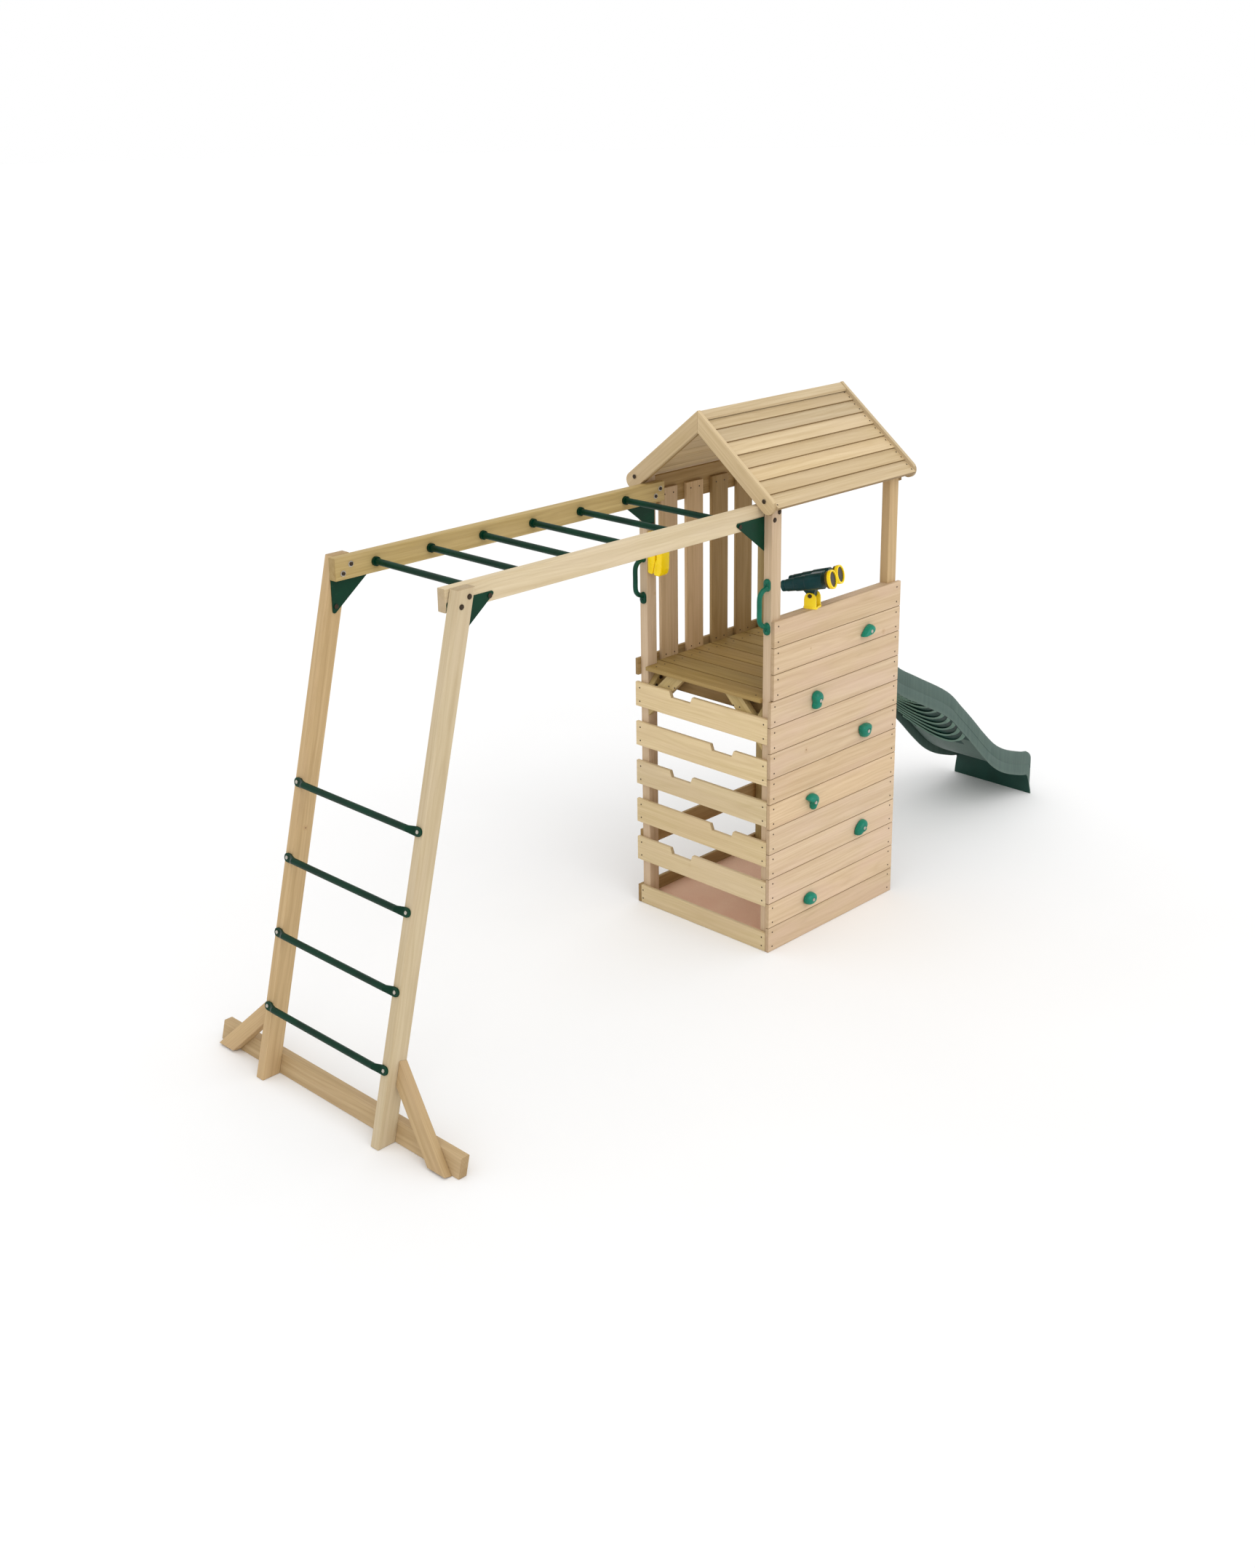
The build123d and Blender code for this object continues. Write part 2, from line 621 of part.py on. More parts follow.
# ---------------------------------------------------------------- toy binoculars
swivel = Vector(x0 + 290.0, y0 + 10.0, wall_top - joint_gap)
pivot = swivel + Vector(0, 0, 58.0)
level_aim = Vector(cos(aim_yaw), sin(aim_yaw), 0)
aim = level_aim * cos(aim_tilt) + Vector(0, 0, sin(aim_tilt))
across = Vector(-sin(aim_yaw), cos(aim_yaw), 0)
above = aim.cross(across)
ear_gap, ear, bracket_long = 46.0, 8.0, 56.0
with BuildPart() as bracket:
    with BuildSketch(Plane(origin=swivel, x_dir=level_aim, z_dir=(0, 0, 1))):
        RectangleRounded(bracket_long, ear_gap + 2 * ear, 8.0)
    extrude(amount=9.0)
    for start in (-ear_gap / 2 - ear, ear_gap / 2):
        with BuildSketch(Plane(origin=swivel + across * (start + ear), x_dir=level_aim,
                               z_dir=-across)):
            with Locations((0, 22.0)):
                Rectangle(bracket_long, 44.0)
            with Locations((0, 44.0)):
                Circle(bracket_long / 2)
            with Locations((0, 58.0)):
                Circle(bolt_hole, mode=Mode.SUBTRACT)
        extrude(amount=ear)
    with Locations(Plane(origin=swivel + Vector(0, 0, 9.0), z_dir=(0, 0, 1))):
        Hole(bolt_hole, 9.0)
save(bracket, "binocular_bracket")

with BuildPart() as screw:
    with BuildSketch(Plane.XY.offset(swivel.Z + 9.0)):
        with Locations((swivel.X, swivel.Y)):
            Circle(bolt_head / 2 + 2.0)
    extrude(amount=3.0)
    with BuildSketch(Plane.XY.offset(swivel.Z + 9.0)):
        with Locations((swivel.X, swivel.Y)):
            Circle(bolt_radius)
    extrude(amount=-9.0)
save(screw, "binocular_swivel_screw")

barrel_apart, barrel_length = 90.0, 243.0
eyepiece_radius, barrel_rear, barrel_front, ring_radius = 25.0, 28.0, 37.0, 41.0
eyepiece_length, ring_length, lens_hole, lens_depth = 22.0, 24.0, 33.0, 5.0
tube_length = barrel_length - eyepiece_length - ring_length
barrel_height = 64.0  # barrel axis above the pivot
rear = pivot + above * barrel_height - aim * (barrel_length * 0.457)
lug = ear_gap - 2 * running_gap


def on_barrels(along):
    """Planes across both barrels, facing forward, at a distance from their rear end."""
    return [Plane(origin=rear + across * way * barrel_apart / 2 + aim * along, x_dir=across,
                  z_dir=aim) for way in (-1, 1)]


with BuildPart() as barrels:
    with Locations(*on_barrels(0)):
        Cylinder(eyepiece_radius, eyepiece_length, align=(Align.CENTER, Align.CENTER, Align.MIN))
    with Locations(*on_barrels(eyepiece_length)):
        Cone(barrel_rear, barrel_front, tube_length,
             align=(Align.CENTER, Align.CENTER, Align.MIN))
    with BuildSketch(Plane(origin=rear + aim * 60.0, x_dir=across, z_dir=aim)):
        Rectangle(barrel_apart, 34.0)
    extrude(amount=120.0)
    with BuildSketch(Plane(origin=pivot + across * lug / 2, x_dir=aim, z_dir=-across)):
        with BuildLine():
            Polyline((-30, barrel_height - 4), (-12, -4), (12, -4), (30, barrel_height - 4),
                     close=True)
        make_face()
        Circle(14.0)
        Circle(bolt_hole, mode=Mode.SUBTRACT)
    extrude(amount=lug)
save(barrels, "binocular_barrels")

with BuildPart() as rings:
    for plane in on_barrels(eyepiece_length + tube_length):
        with BuildSketch(plane):
            Circle(ring_radius)
        extrude(amount=ring_length)
        with Locations(plane.offset(ring_length)):
            Hole(lens_hole, 10.0)
save(rings, "binocular_lens_rings")
with BuildPart() as lenses:
    for plane in on_barrels(eyepiece_length + tube_length + ring_length - 10.0):
        with BuildSketch(plane):
            Circle(lens_hole - 0.2)
        extrude(amount=lens_depth)
save(lenses, "binocular_lenses")

pin_half = ear_gap / 2 + ear
with BuildPart() as pin:
    with BuildSketch(Plane(origin=pivot - across * pin_half, x_dir=level_aim, z_dir=across)):
        Circle(bolt_hole - 0.05)
    extrude(amount=2 * pin_half)
    for start, way in ((-pin_half, -1), (pin_half, 1)):
        with BuildSketch(Plane(origin=pivot + across * start, x_dir=level_aim,
                               z_dir=across * way)):
            Circle(9.0)
        extrude(amount=4.0)
save(pin, "binocular_pivot_bolt")

# ---------------------------------------------------------------- toy telephone
phone_x = (x0 + 3.0, x0 + 59.0)
phone_z = (1638.0, 1834.0)
phone_back = y1 - post_y
base_depth, handset_depth, hollow = 45.0, 44.0, 9.0
base_front = phone_back - base_depth
handset_front = base_front - handset_depth


def phone_piece(outline):
    """Adds one moulding to the open part: its (y, z) outline extruded over the phone's width."""
    with BuildSketch(Plane.YZ.offset(phone_x[0])) as side_view:
        with BuildLine():
            Polyline(*outline, close=True)
        make_face()
    extrude(side_view.sketch, amount=phone_x[1] - phone_x[0])


with BuildPart() as phone_base:
    phone_piece([(phone_back, phone_z[0]), (phone_back, phone_z[1]),
                 (base_front + 4.0, phone_z[1]), (base_front, phone_z[1] - 12.0),
                 (base_front, phone_z[0] + 62.0), (base_front + 12.0, phone_z[0] + 10.0),
                 (base_front + 18.0, phone_z[0])])
    fillet(phone_base.edges().filter_by(Axis.Y).group_by(Axis.Z)[0], 7.0)
save(phone_base, "telephone_base")
gap = running_gap
with BuildPart() as handset:
    phone_piece([(base_front - gap, phone_z[1] - 12.0), (base_front - gap, phone_z[1] - 58.0),
                 (base_front - hollow, phone_z[1] - 72.0),
                 (base_front - hollow, phone_z[0] + 76.0), (base_front - gap, phone_z[0] + 62.0),
                 (base_front + 12.0 - gap, phone_z[0] + 10.0),
                 (base_front + 6.0, phone_z[0] - 4.0), (handset_front + 10.0, phone_z[0] - 4.0),
                 (handset_front, phone_z[0] + 12.0), (handset_front, phone_z[1] - 14.0),
                 (handset_front + 10.0, phone_z[1])])
save(handset, "telephone_handset")

# ---------------------------------------------------------------- fasteners


def fasteners(label, places, length, head=bolt_head, height=6.0, radius=bolt_radius):
    """Writes a set of identical bolts, each given as (point under its head, outward direction)."""
    with BuildPart() as piece:
        for point, outward in places:
            with BuildSketch(Plane(origin=point, z_dir=outward)):
                Circle(head)
            extrude(amount=height)
            with BuildSketch(Plane(origin=point, z_dir=outward)):
                Circle(radius)
            extrude(amount=-length)
    save(piece, label)


fasteners("ladder_rung_bolts", ladder_bolts, flat_thickness)
fasteners("hold_bolts", [((x, y0 - board - hold_depth, z), (0, -1, 0)) for x, z in hold_places],
          hold_depth + board, 8.0, 3.0)
bolt_head_height, nut_radius = 6.0, 9.0
with BuildPart() as bolts:
    for point, outward in plate_bolts + knee_bolts + barge_bolts:
        with BuildSketch(Plane(origin=point, z_dir=outward)):
            Circle(bolt_head)
        extrude(amount=bolt_head_height)
    for point, outward, depth in beam_bolts:
        under = Plane(origin=point, z_dir=outward)
        with BuildSketch(under):
            Circle(bolt_head)
        extrude(amount=bolt_head_height)
        with BuildSketch(under):
            Circle(bolt_radius)
        extrude(amount=-depth)
        with BuildSketch(under.offset(-depth)):
            Circle(nut_radius)
        extrude(amount=-bolt_head_height)
save(bolts, "frame_bolts")
with BuildPart() as heads:
    for point, outward in screws:
        with BuildSketch(Plane(origin=point, z_dir=outward)):
            Circle(screw_head)
        extrude(amount=screw_proud)
save(heads, "board_screws")
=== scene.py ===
"""Garden climbing tower with monkey bars: detailed pieces, materials, light and camera.
Metres, +Z up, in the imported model's own frame."""
import json
import math
import random

import bmesh
import bpy
from mathutils import Matrix, Vector


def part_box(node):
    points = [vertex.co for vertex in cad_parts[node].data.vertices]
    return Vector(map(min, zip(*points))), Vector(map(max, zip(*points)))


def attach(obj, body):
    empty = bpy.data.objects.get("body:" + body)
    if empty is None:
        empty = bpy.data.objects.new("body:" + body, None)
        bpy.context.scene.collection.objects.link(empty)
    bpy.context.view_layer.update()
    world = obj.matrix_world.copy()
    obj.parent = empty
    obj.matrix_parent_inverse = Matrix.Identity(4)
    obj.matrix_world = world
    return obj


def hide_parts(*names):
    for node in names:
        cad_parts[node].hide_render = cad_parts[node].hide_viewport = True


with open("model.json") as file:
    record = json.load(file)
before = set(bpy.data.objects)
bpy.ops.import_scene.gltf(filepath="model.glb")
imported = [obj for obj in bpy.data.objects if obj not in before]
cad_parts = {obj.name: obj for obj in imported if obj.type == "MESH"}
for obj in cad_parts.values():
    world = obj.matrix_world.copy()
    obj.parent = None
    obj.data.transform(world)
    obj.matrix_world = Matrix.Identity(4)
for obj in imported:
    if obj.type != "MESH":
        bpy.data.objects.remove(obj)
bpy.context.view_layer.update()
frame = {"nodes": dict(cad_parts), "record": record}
NODES = frame["nodes"]
SLOT_OF = {row["node"]: row["material_slot"] for row in frame["record"]["subparts"]}
BODY_OF = {node: body for body, members in frame["record"]["behaviour"]["bodies"].items()
           for node in members}

X0, X1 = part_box("front_post_near")[0].x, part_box("slide_post_near")[1].x
Y0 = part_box("front_post_near")[0].y
BOARD = 0.018  # thickness of the climbing wall's boards
COURSE = 0.12  # height of one of its courses


# ---------------------------------------------------------------- shader building
class Graph:
    """A material's node tree, built by calling it with node types and input values."""

    def __init__(self, name):
        self.material = bpy.data.materials.new(name)
        self.material.use_nodes = True
        self.tree = self.material.node_tree
        self.tree.nodes.clear()

    def __call__(self, kind, *values, out=0, **settings):
        node = self.tree.nodes.new("ShaderNode" + kind)
        inputs = {}
        for key, value in settings.items():
            if key.startswith("in_"):
                inputs[key[3:].replace("_", " ")] = value
            else:
                setattr(node, key, value)
        for index, value in enumerate(values):
            self.feed(node.inputs[index], value)
        for key, value in inputs.items():
            self.feed(node.inputs[key], value)
        return node.outputs[out]

    def feed(self, socket, value):
        if isinstance(value, bpy.types.NodeSocket):
            self.tree.links.new(value, socket)
        elif value is not None:
            socket.default_value = value

    def math(self, operation, *values, clamp=False):
        return self("Math", *values, operation=operation, use_clamp=clamp)

    def vector(self, operation, *values, out=0):
        return self("VectorMath", *values, operation=operation, out=out)

    def ramp(self, value, low, high, to_low=0.0, to_high=1.0):
        """Smooth step of a value between two limits."""
        return self("MapRange", value, low, high, to_low, to_high,
                    interpolation_type="SMOOTHSTEP")

    def mix(self, share, first, second, blend="MIX"):
        node = self.tree.nodes.new("ShaderNodeMix")
        node.data_type = "RGBA"
        node.blend_type = blend
        self.feed(node.inputs[0], share)
        self.feed(node.inputs[6], first)
        self.feed(node.inputs[7], second)
        return node.outputs[2]

    def noise(self, vector, scale, detail=3.0, roughness=0.55):
        return self("TexNoise", in_Vector=vector, in_Scale=scale, in_Detail=detail,
                    in_Roughness=roughness)

    def finish(self, color, roughness, height=None, strength=0.3, distance=0.001, **constant):
        shader = self.tree.nodes.new("ShaderNodeBsdfPrincipled")
        self.feed(shader.inputs["Base Color"], color)
        self.feed(shader.inputs["Roughness"], roughness)
        for key, value in constant.items():
            shader.inputs[key.replace("_", " ")].default_value = value
        if height is not None:
            bump = self.tree.nodes.new("ShaderNodeBump")
            bump.inputs["Strength"].default_value = strength
            bump.inputs["Distance"].default_value = distance
            self.feed(bump.inputs["Height"], height)
            self.tree.links.new(bump.outputs[0], shader.inputs["Normal"])
        output = self.tree.nodes.new("ShaderNodeOutputMaterial")
        self.tree.links.new(shader.outputs[0], output.inputs[0])
        return self.material


def rgb(red, green, blue):
    """Linear colour of an 8-bit display colour."""
    return tuple(((c / 255 + 0.055) / 1.055) ** 2.4 if c > 10 else c / 255 / 12.92
                 for c in (red, green, blue)) + (1.0,)


def wood_material(name, light, deep, late, pink, knots=1.0, spread=1.0):
    """Planed pine.  Growth rings lie round a pith line that runs along each board, from the
    board's own coordinates in the attribute grain and its random numbers in the attribute tone."""
    g = Graph(name)
    knot_density, ring_spacing = 6.0, 0.0085
    grain = g("Attribute", attribute_name="grain", out=1)
    tone = g("Attribute", attribute_name="tone", out=1)
    end = g("Attribute", attribute_name="endgrain", out=2)
    tones = g.tree.nodes.new("ShaderNodeSeparateXYZ")
    g.feed(tones.inputs[0], tone)
    place = g.vector("ADD", grain, g.vector("MULTIPLY", tone, (17.0, 1.3, 1.1)))
    knot_cells = g.tree.nodes.new("ShaderNodeTexVoronoi")
    knot_cells.inputs["Scale"].default_value = knot_density
    g.feed(knot_cells.inputs["Vector"], place)
    knot_distance = g.math("DIVIDE", knot_cells.outputs["Distance"], knot_density)
    chosen = g.tree.nodes.new("ShaderNodeSeparateColor")
    g.feed(chosen.inputs[0], knot_cells.outputs["Color"])
    present = g.math("GREATER_THAN", chosen.outputs[0], 1.0 - 0.45 * knots)
    knot_size = g("MapRange", chosen.outputs[1], 0.0, 1.0, 0.0018, 0.0060)
    core = g.math("MULTIPLY", present, g.ramp(g.math("DIVIDE", knot_distance, knot_size),
                                              0.8, 1.1, 1.0, 0.0))
    halo = g.math("MULTIPLY", present, g.ramp(g.math("DIVIDE", knot_distance, knot_size),
                                              1.0, 3.6, 1.0, 0.0))
    pith = g("CombineXYZ", 0.0, g("MapRange", tones.outputs[1], 0.0, 1.0, -0.05, 0.05),
             g("MapRange", tones.outputs[2], 0.0, 1.0, 0.02, 0.12))
    across = g.vector("MULTIPLY", g.vector("ADD", grain, pith), (0.0, 1.0, 1.0))
    wander = g.noise(g.vector("MULTIPLY", place, (1.1, 5.0, 5.0)), 1.0, 3.0)
    radius = g.math("ADD", g.vector("LENGTH", across, out=1), g.math("MULTIPLY", wander, 0.055))
    radius = g.math("ADD", radius, g.math("MULTIPLY", halo, 0.004))
    wave = g.math("SINE", g.math("MULTIPLY", radius, 2 * math.pi / ring_spacing))
    rings = g.math("POWER", g.math("MULTIPLY_ADD", wave, 0.5, 0.5), 2.6)
    streaks = g.noise(g.vector("MULTIPLY", place, (1.3, 46.0, 46.0)), 1.0, 4.0, 0.6)
    fibre = g.noise(g.vector("MULTIPLY", place, (9.0, 620.0, 620.0)), 1.0, 2.0)
    patches = g.noise(g.vector("MULTIPLY", place, (2.4, 9.0, 9.0)), 1.0, 2.0)
    color = g.mix(g.ramp(streaks, 0.32, 0.7), light, deep)
    color = g.mix(g.math("MULTIPLY", rings, 0.20), color, late)
    color = g.mix(g.ramp(fibre, 0.35, 0.75, 0.0, 0.16), color, late)
    color = g.mix(g.ramp(patches, 0.40, 0.72, 0.0, 0.40 * spread), color, pink)
    warm = g.mix(tones.outputs[1], (1.03, 0.985, 0.93, 1), (1.0, 0.985, 0.995, 1))
    color = g.mix(spread, color, warm, "MULTIPLY")
    shade = g("MapRange", tones.outputs[0], 0.0, 1.0, 1.0 - 0.14 * spread, 1.0 + 0.05 * spread)
    color = g.mix(1.0, color, g("CombineColor", shade, shade, shade), "MULTIPLY")
    color = g.mix(g.math("MULTIPLY", halo, 0.30), color, rgb(168, 128, 84))
    color = g.mix(g.math("MULTIPLY", core, 0.70), color, rgb(112, 78, 50))
    # end grain darker, and painted shade on board sides in the gaps between boards
    color = g.mix(g.math("MULTIPLY", end, 0.75), color, rgb(124, 94, 52))
    roughness = g.ramp(fibre, 0.3, 0.8, 0.58, 0.78)
    height = g.math("SUBTRACT", g.math("MULTIPLY_ADD", rings, 0.45, g.math("MULTIPLY", fibre, 0.6)),
                    g.math("MULTIPLY", core, 0.6))
    return g.finish(color, roughness, height, 0.32, 0.0007, Specular_IOR_Level=0.32)


def moulded(name, base, low, high, roughness=(0.22, 0.4), scale=60.0, wear=None, scuff=0.12,
            **constant):
    """Moulded plastic or paint: slightly mottled, with a fine orange-peel surface."""
    g = Graph(name)
    where = g("TexCoord", out=3)
    mottle = g.noise(where, 9.0, 4.0)
    fine = g.noise(where, scale * 12, 2.0)
    color = g.mix(g.ramp(mottle, 0.3, 0.7), low, high)
    color = g.mix(0.5, color, base)
    scuffs = g.noise(g.vector("MULTIPLY", where, (40.0, 40.0, 260.0)), 1.0, 3.0)
    color = g.mix(g.ramp(scuffs, 0.62, 0.8, 0.0, scuff), color, rgb(225, 225, 215))
    edge = g("NewGeometry", out=7)
    color = g.mix(g.ramp(edge, 0.53, 0.62, 0.0, 0.25), color, wear or high)
    rough = g.math("ADD", g.ramp(mottle, 0.3, 0.75, *roughness), g.ramp(scuffs, 0.6, 0.8, 0.0, 0.1))
    return g.finish(color, rough, fine, 0.12, 0.0004, **constant)


def slide_material():
    g = Graph("slide_moulding")
    where = g("TexCoord", out=3)
    streak = g.noise(g.vector("MULTIPLY", where, (55.0, 55.0, 2.5)), 1.0, 4.0, 0.65)
    broad = g.noise(where, 4.0, 3.0)
    fine = g.noise(where, 900.0, 2.0)
    color = g.mix(g.ramp(streak, 0.3, 0.72), rgb(62, 84, 76), rgb(84, 104, 95))
    color = g.mix(g.ramp(broad, 0.35, 0.7, 0.0, 0.4), color, rgb(70, 92, 86))
    edge = g("NewGeometry", out=7)
    color = g.mix(g.ramp(edge, 0.53, 0.62, 0.0, 0.3), color, rgb(112, 130, 120))
    rough = g.ramp(streak, 0.3, 0.75, 0.40, 0.55)
    return g.finish(color, rough, g.math("MULTIPLY_ADD", streak, 0.4, fine), 0.15, 0.0006,
                    Specular_IOR_Level=0.30)


def sand_material():
    g = Graph("sand_grains")
    where = g("TexCoord", out=3)
    grains = g.noise(where, 900.0, 2.0, 0.7)
    drifts = g.noise(where, 7.0, 4.0)
    color = g.mix(g.ramp(grains, 0.3, 0.7), rgb(224, 178, 150), rgb(252, 220, 194))
    color = g.mix(g.ramp(drifts, 0.35, 0.7, 0.0, 0.5), color, rgb(232, 186, 160))
    height = g.math("MULTIPLY_ADD", grains, 0.7, g.math("MULTIPLY", drifts, 1.0))
    return g.finish(color, 0.93, height, 0.6, 0.002, Specular_IOR_Level=0.2)


def steel_material(name, tint, rough):
    g = Graph(name)
    where = g("TexCoord", out=3)
    brushed = g.noise(g.vector("MULTIPLY", where, (600.0, 80.0, 600.0)), 1.0, 3.0)
    spots = g.noise(where, 150.0, 3.0)
    color = g.mix(g.ramp(brushed, 0.3, 0.7, 0.0, 0.5), tint, rgb(60, 52, 44))
    color = g.mix(g.ramp(spots, 0.55, 0.75, 0.0, 0.5), color, rgb(90, 66, 46))
    return g.finish(color, g.ramp(brushed, 0.3, 0.7, rough, rough + 0.2), brushed, 0.2, 0.0003,
                    Metallic=0.8)


def lens_material():
    g = Graph("dark_lens")
    where = g("TexCoord", out=3)
    haze = g.noise(where, 26.0, 3.0)
    color = g.mix(g.ramp(haze, 0.3, 0.7), rgb(24, 20, 14), rgb(60, 46, 32))
    return g.finish(color, g.ramp(haze, 0.3, 0.7, 0.25, 0.4), haze, 0.05, 0.0004,
                    Specular_IOR_Level=0.25)


TEAL = moulded("teal_plastic", rgb(0, 122, 98), rgb(0, 98, 80), rgb(8, 142, 116),
               (0.24, 0.38), wear=rgb(40, 164, 138), Specular_IOR_Level=0.35)
HANDLE_GREEN = moulded("handle_green", rgb(0, 98, 74), rgb(0, 78, 58), rgb(6, 116, 90),
                       (0.28, 0.42), wear=rgb(30, 130, 104), Specular_IOR_Level=0.25)
# a darker copy of the handle green for the far handle: painted shade
HANDLE_SHADED = moulded("handle_shaded", rgb(0, 62, 44), rgb(0, 48, 34), rgb(4, 76, 56),
                      (0.28, 0.42), wear=rgb(20, 92, 70), Specular_IOR_Level=0.2)
YELLOW = moulded("yellow_plastic", rgb(252, 216, 0), rgb(244, 200, 0), rgb(255, 228, 20),
                 (0.24, 0.38), wear=rgb(255, 232, 90), Specular_IOR_Level=0.35)
GREEN_METAL = moulded("green_paint", rgb(0, 44, 28), rgb(0, 32, 20), rgb(2, 58, 38),
                      (0.34, 0.5), wear=rgb(16, 72, 50), scuff=0.03, Specular_IOR_Level=0.14)
BODY_TEAL = moulded("binocular_teal", rgb(4, 52, 54), rgb(2, 38, 40), rgb(10, 66, 68),
                    (0.28, 0.42), wear=rgb(40, 88, 90), scuff=0.04, Specular_IOR_Level=0.22)
BROWN = moulded("ring_band", rgb(96, 76, 22), rgb(70, 56, 16), rgb(120, 96, 30),
                (0.3, 0.45), wear=rgb(150, 124, 50), Specular_IOR_Level=0.2)
SLIDE = slide_material()
# darker moulding for the slide's underside, the inner face of its far skirt and the back of its end
# plate: painted shade
SLIDE_UNDER_SHADED = moulded("slide_under_painted_shade", rgb(6, 48, 40), rgb(2, 34, 28), rgb(14, 62, 54),
                      (0.4, 0.55), wear=rgb(60, 96, 84), scuff=0.05, Specular_IOR_Level=0.2)
# lighter moulding for the ribs under the slide: painted light, for the light they catch against the
# shaded underside
SLIDE_RIB_LIT = moulded("slide_rib_painted_light", rgb(104, 140, 124), rgb(84, 120, 106), rgb(124, 156, 140),
                    (0.4, 0.55), wear=rgb(120, 140, 128), Specular_IOR_Level=0.25)
SAND = sand_material()
DARK_STEEL = steel_material("dark_steel", rgb(70, 58, 46), 0.45)
BRIGHT_STEEL = steel_material("bright_steel", rgb(206, 200, 188), 0.24)
LENS = lens_material()

WOOD = {
    "wood_wall": wood_material("pine_wall", rgb(218, 195, 162), rgb(204, 179, 145),
                               rgb(182, 155, 120), rgb(216, 188, 168)),
    "wood_posts": wood_material("pine_posts", rgb(214, 190, 158), rgb(199, 174, 140),
                                rgb(176, 148, 110), rgb(208, 182, 154), 0.7),
    "wood_boards": wood_material("pine_boards", rgb(219, 200, 160), rgb(205, 185, 142),
                                 rgb(182, 158, 112), rgb(212, 190, 156), 1.1),
    # the deck inside the tower is darker than the other pine: painted shade
    "wood_deck": wood_material("pine_deck_shaded", rgb(170, 145, 88), rgb(150, 125, 68),
                               rgb(122, 98, 48), rgb(160, 134, 86), 1.0),
    "wood_bars": wood_material("pine_bars", rgb(212, 196, 162), rgb(199, 181, 145),
                               rgb(178, 158, 120), rgb(208, 190, 162), 0.9),
    "wood_roof": wood_material("pine_roof", rgb(214, 194, 156), rgb(199, 177, 137),
                               rgb(174, 150, 108), rgb(206, 185, 152), 0.9, 1.1),
}
# Darker copies of the pine for timbers that stand in shade (inside the tower, under the roof, low down
# and on the far side): painted shade, not a different wood.
SHADED = wood_material("pine_shaded", rgb(172, 145, 98), rgb(150, 122, 74), rgb(122, 95, 50),
                       rgb(162, 134, 92), 0.9)
# A lighter copy for the guard slats on the lit side: painted light.
LIT_SLAT = wood_material("pine_lit_slat", rgb(202, 176, 138), rgb(184, 157, 118),
                          rgb(158, 130, 92), rgb(198, 170, 138), 0.9)
OLIVE_SHADED = wood_material("pine_olive_shaded", rgb(192, 170, 116), rgb(172, 149, 94), rgb(144, 120, 68),
                      rgb(184, 162, 116), 0.9)
FOOT_SHADED = wood_material("pine_foot_shaded", rgb(196, 171, 130), rgb(180, 154, 112), rgb(154, 128, 86),
                     rgb(188, 162, 128), 0.9)
# nodes that take one of the painted-shade copies of the pine
PAINTED_SHADE_WOOD = {"guard_slats": SHADED, "slat_side_deck_rail": SHADED, "slat_side_low_rail": SHADED,
            "slat_side_top_rail": SHADED, "deck_joists": SHADED, "ridge_beam": SHADED,
            "rafters": SHADED, "monkey_beam_far": OLIVE_SHADED, "pit_sills": SHADED,
            "knee_braces_along": OLIVE_SHADED, "knee_braces_across": OLIVE_SHADED, "slide_post_far": OLIVE_SHADED,
            "slide_post_near": FOOT_SHADED, "foot_beam": FOOT_SHADED, "foot_braces": FOOT_SHADED,
            "ladder_leg_far": FOOT_SHADED}
# boards of a node that stand in the light and get a lighter wood than the painted-shade rest, painted
# light: how to tell them by their middle
LIT_BOARDS = {"guard_slats": (LIT_SLAT, lambda middle: middle.x < X0 + 0.42),
                "pit_sills": (WOOD["wood_boards"], lambda middle: middle.x < X0
                              or middle.y < Y0)}
# nodes whose boards get painted shade on the edges that face each other, for the shadow in the gaps,
# and a little on their outer edges
GAP_SHADED_NODES = ("climbing_wall_boards", "deck_boards", "roof_boards_near", "roof_boards_far")


# ---------------------------------------------------------------- pieces
def add_piece(name, mesh, material, node, sharp=35.0):
    """Puts a mesh in the scene in place of a CAD node, riding on that node's body."""
    mesh.materials.append(material)
    mesh.shade_smooth()
    mesh.set_sharp_from_angle(angle=math.radians(sharp))
    piece = bpy.data.objects.new(name, mesh)
    bpy.context.scene.collection.objects.link(piece)
    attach(piece, BODY_OF[node])
    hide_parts(node)
    return piece


def mesh_of(bm, name):
    mesh = bpy.data.meshes.new(name)
    bm.to_mesh(mesh)
    bm.free()
    return mesh


def clean_copy(node):
    """The CAD node's surface with its flat faces whole again."""
    bm = bmesh.new()
    bm.from_mesh(NODES[node].data)
    bmesh.ops.remove_doubles(bm, verts=bm.verts, dist=1e-6)
    bmesh.ops.dissolve_limit(bm, angle_limit=math.radians(0.8), verts=bm.verts, edges=bm.edges)
    return bm


def islands(bm):
    """Groups of faces that hang together."""
    seen, groups = set(), []
    for first in bm.faces:
        if first in seen:
            continue
        seen.add(first)
        group, rim = [first], [first]
        while rim:
            face = rim.pop()
            for edge in face.edges:
                for other in edge.link_faces:
                    if other not in seen:
                        seen.add(other)
                        group.append(other)
                        rim.append(other)
        groups.append(group)
    return groups


def board_axes(group):
    """(along, across, through) of a board: its longest edge's direction, and its widest face."""
    edges = {edge for face in group for edge in face.edges}
    longest = max(edges, key=lambda edge: edge.calc_length())
    along = (longest.verts[1].co - longest.verts[0].co).normalized()
    if along.dot(Vector((1.0, 0.9, 0.8))) < 0:
        along = -along
    sides = [face for face in group if abs(face.normal.dot(along)) < 0.1]
    through = max(sides, key=lambda face: face.calc_area()).normal.copy()
    if through.dot(Vector((0.3, -1.0, 0.6))) < 0:
        through = -through
    return along, through.cross(along).normalized(), through


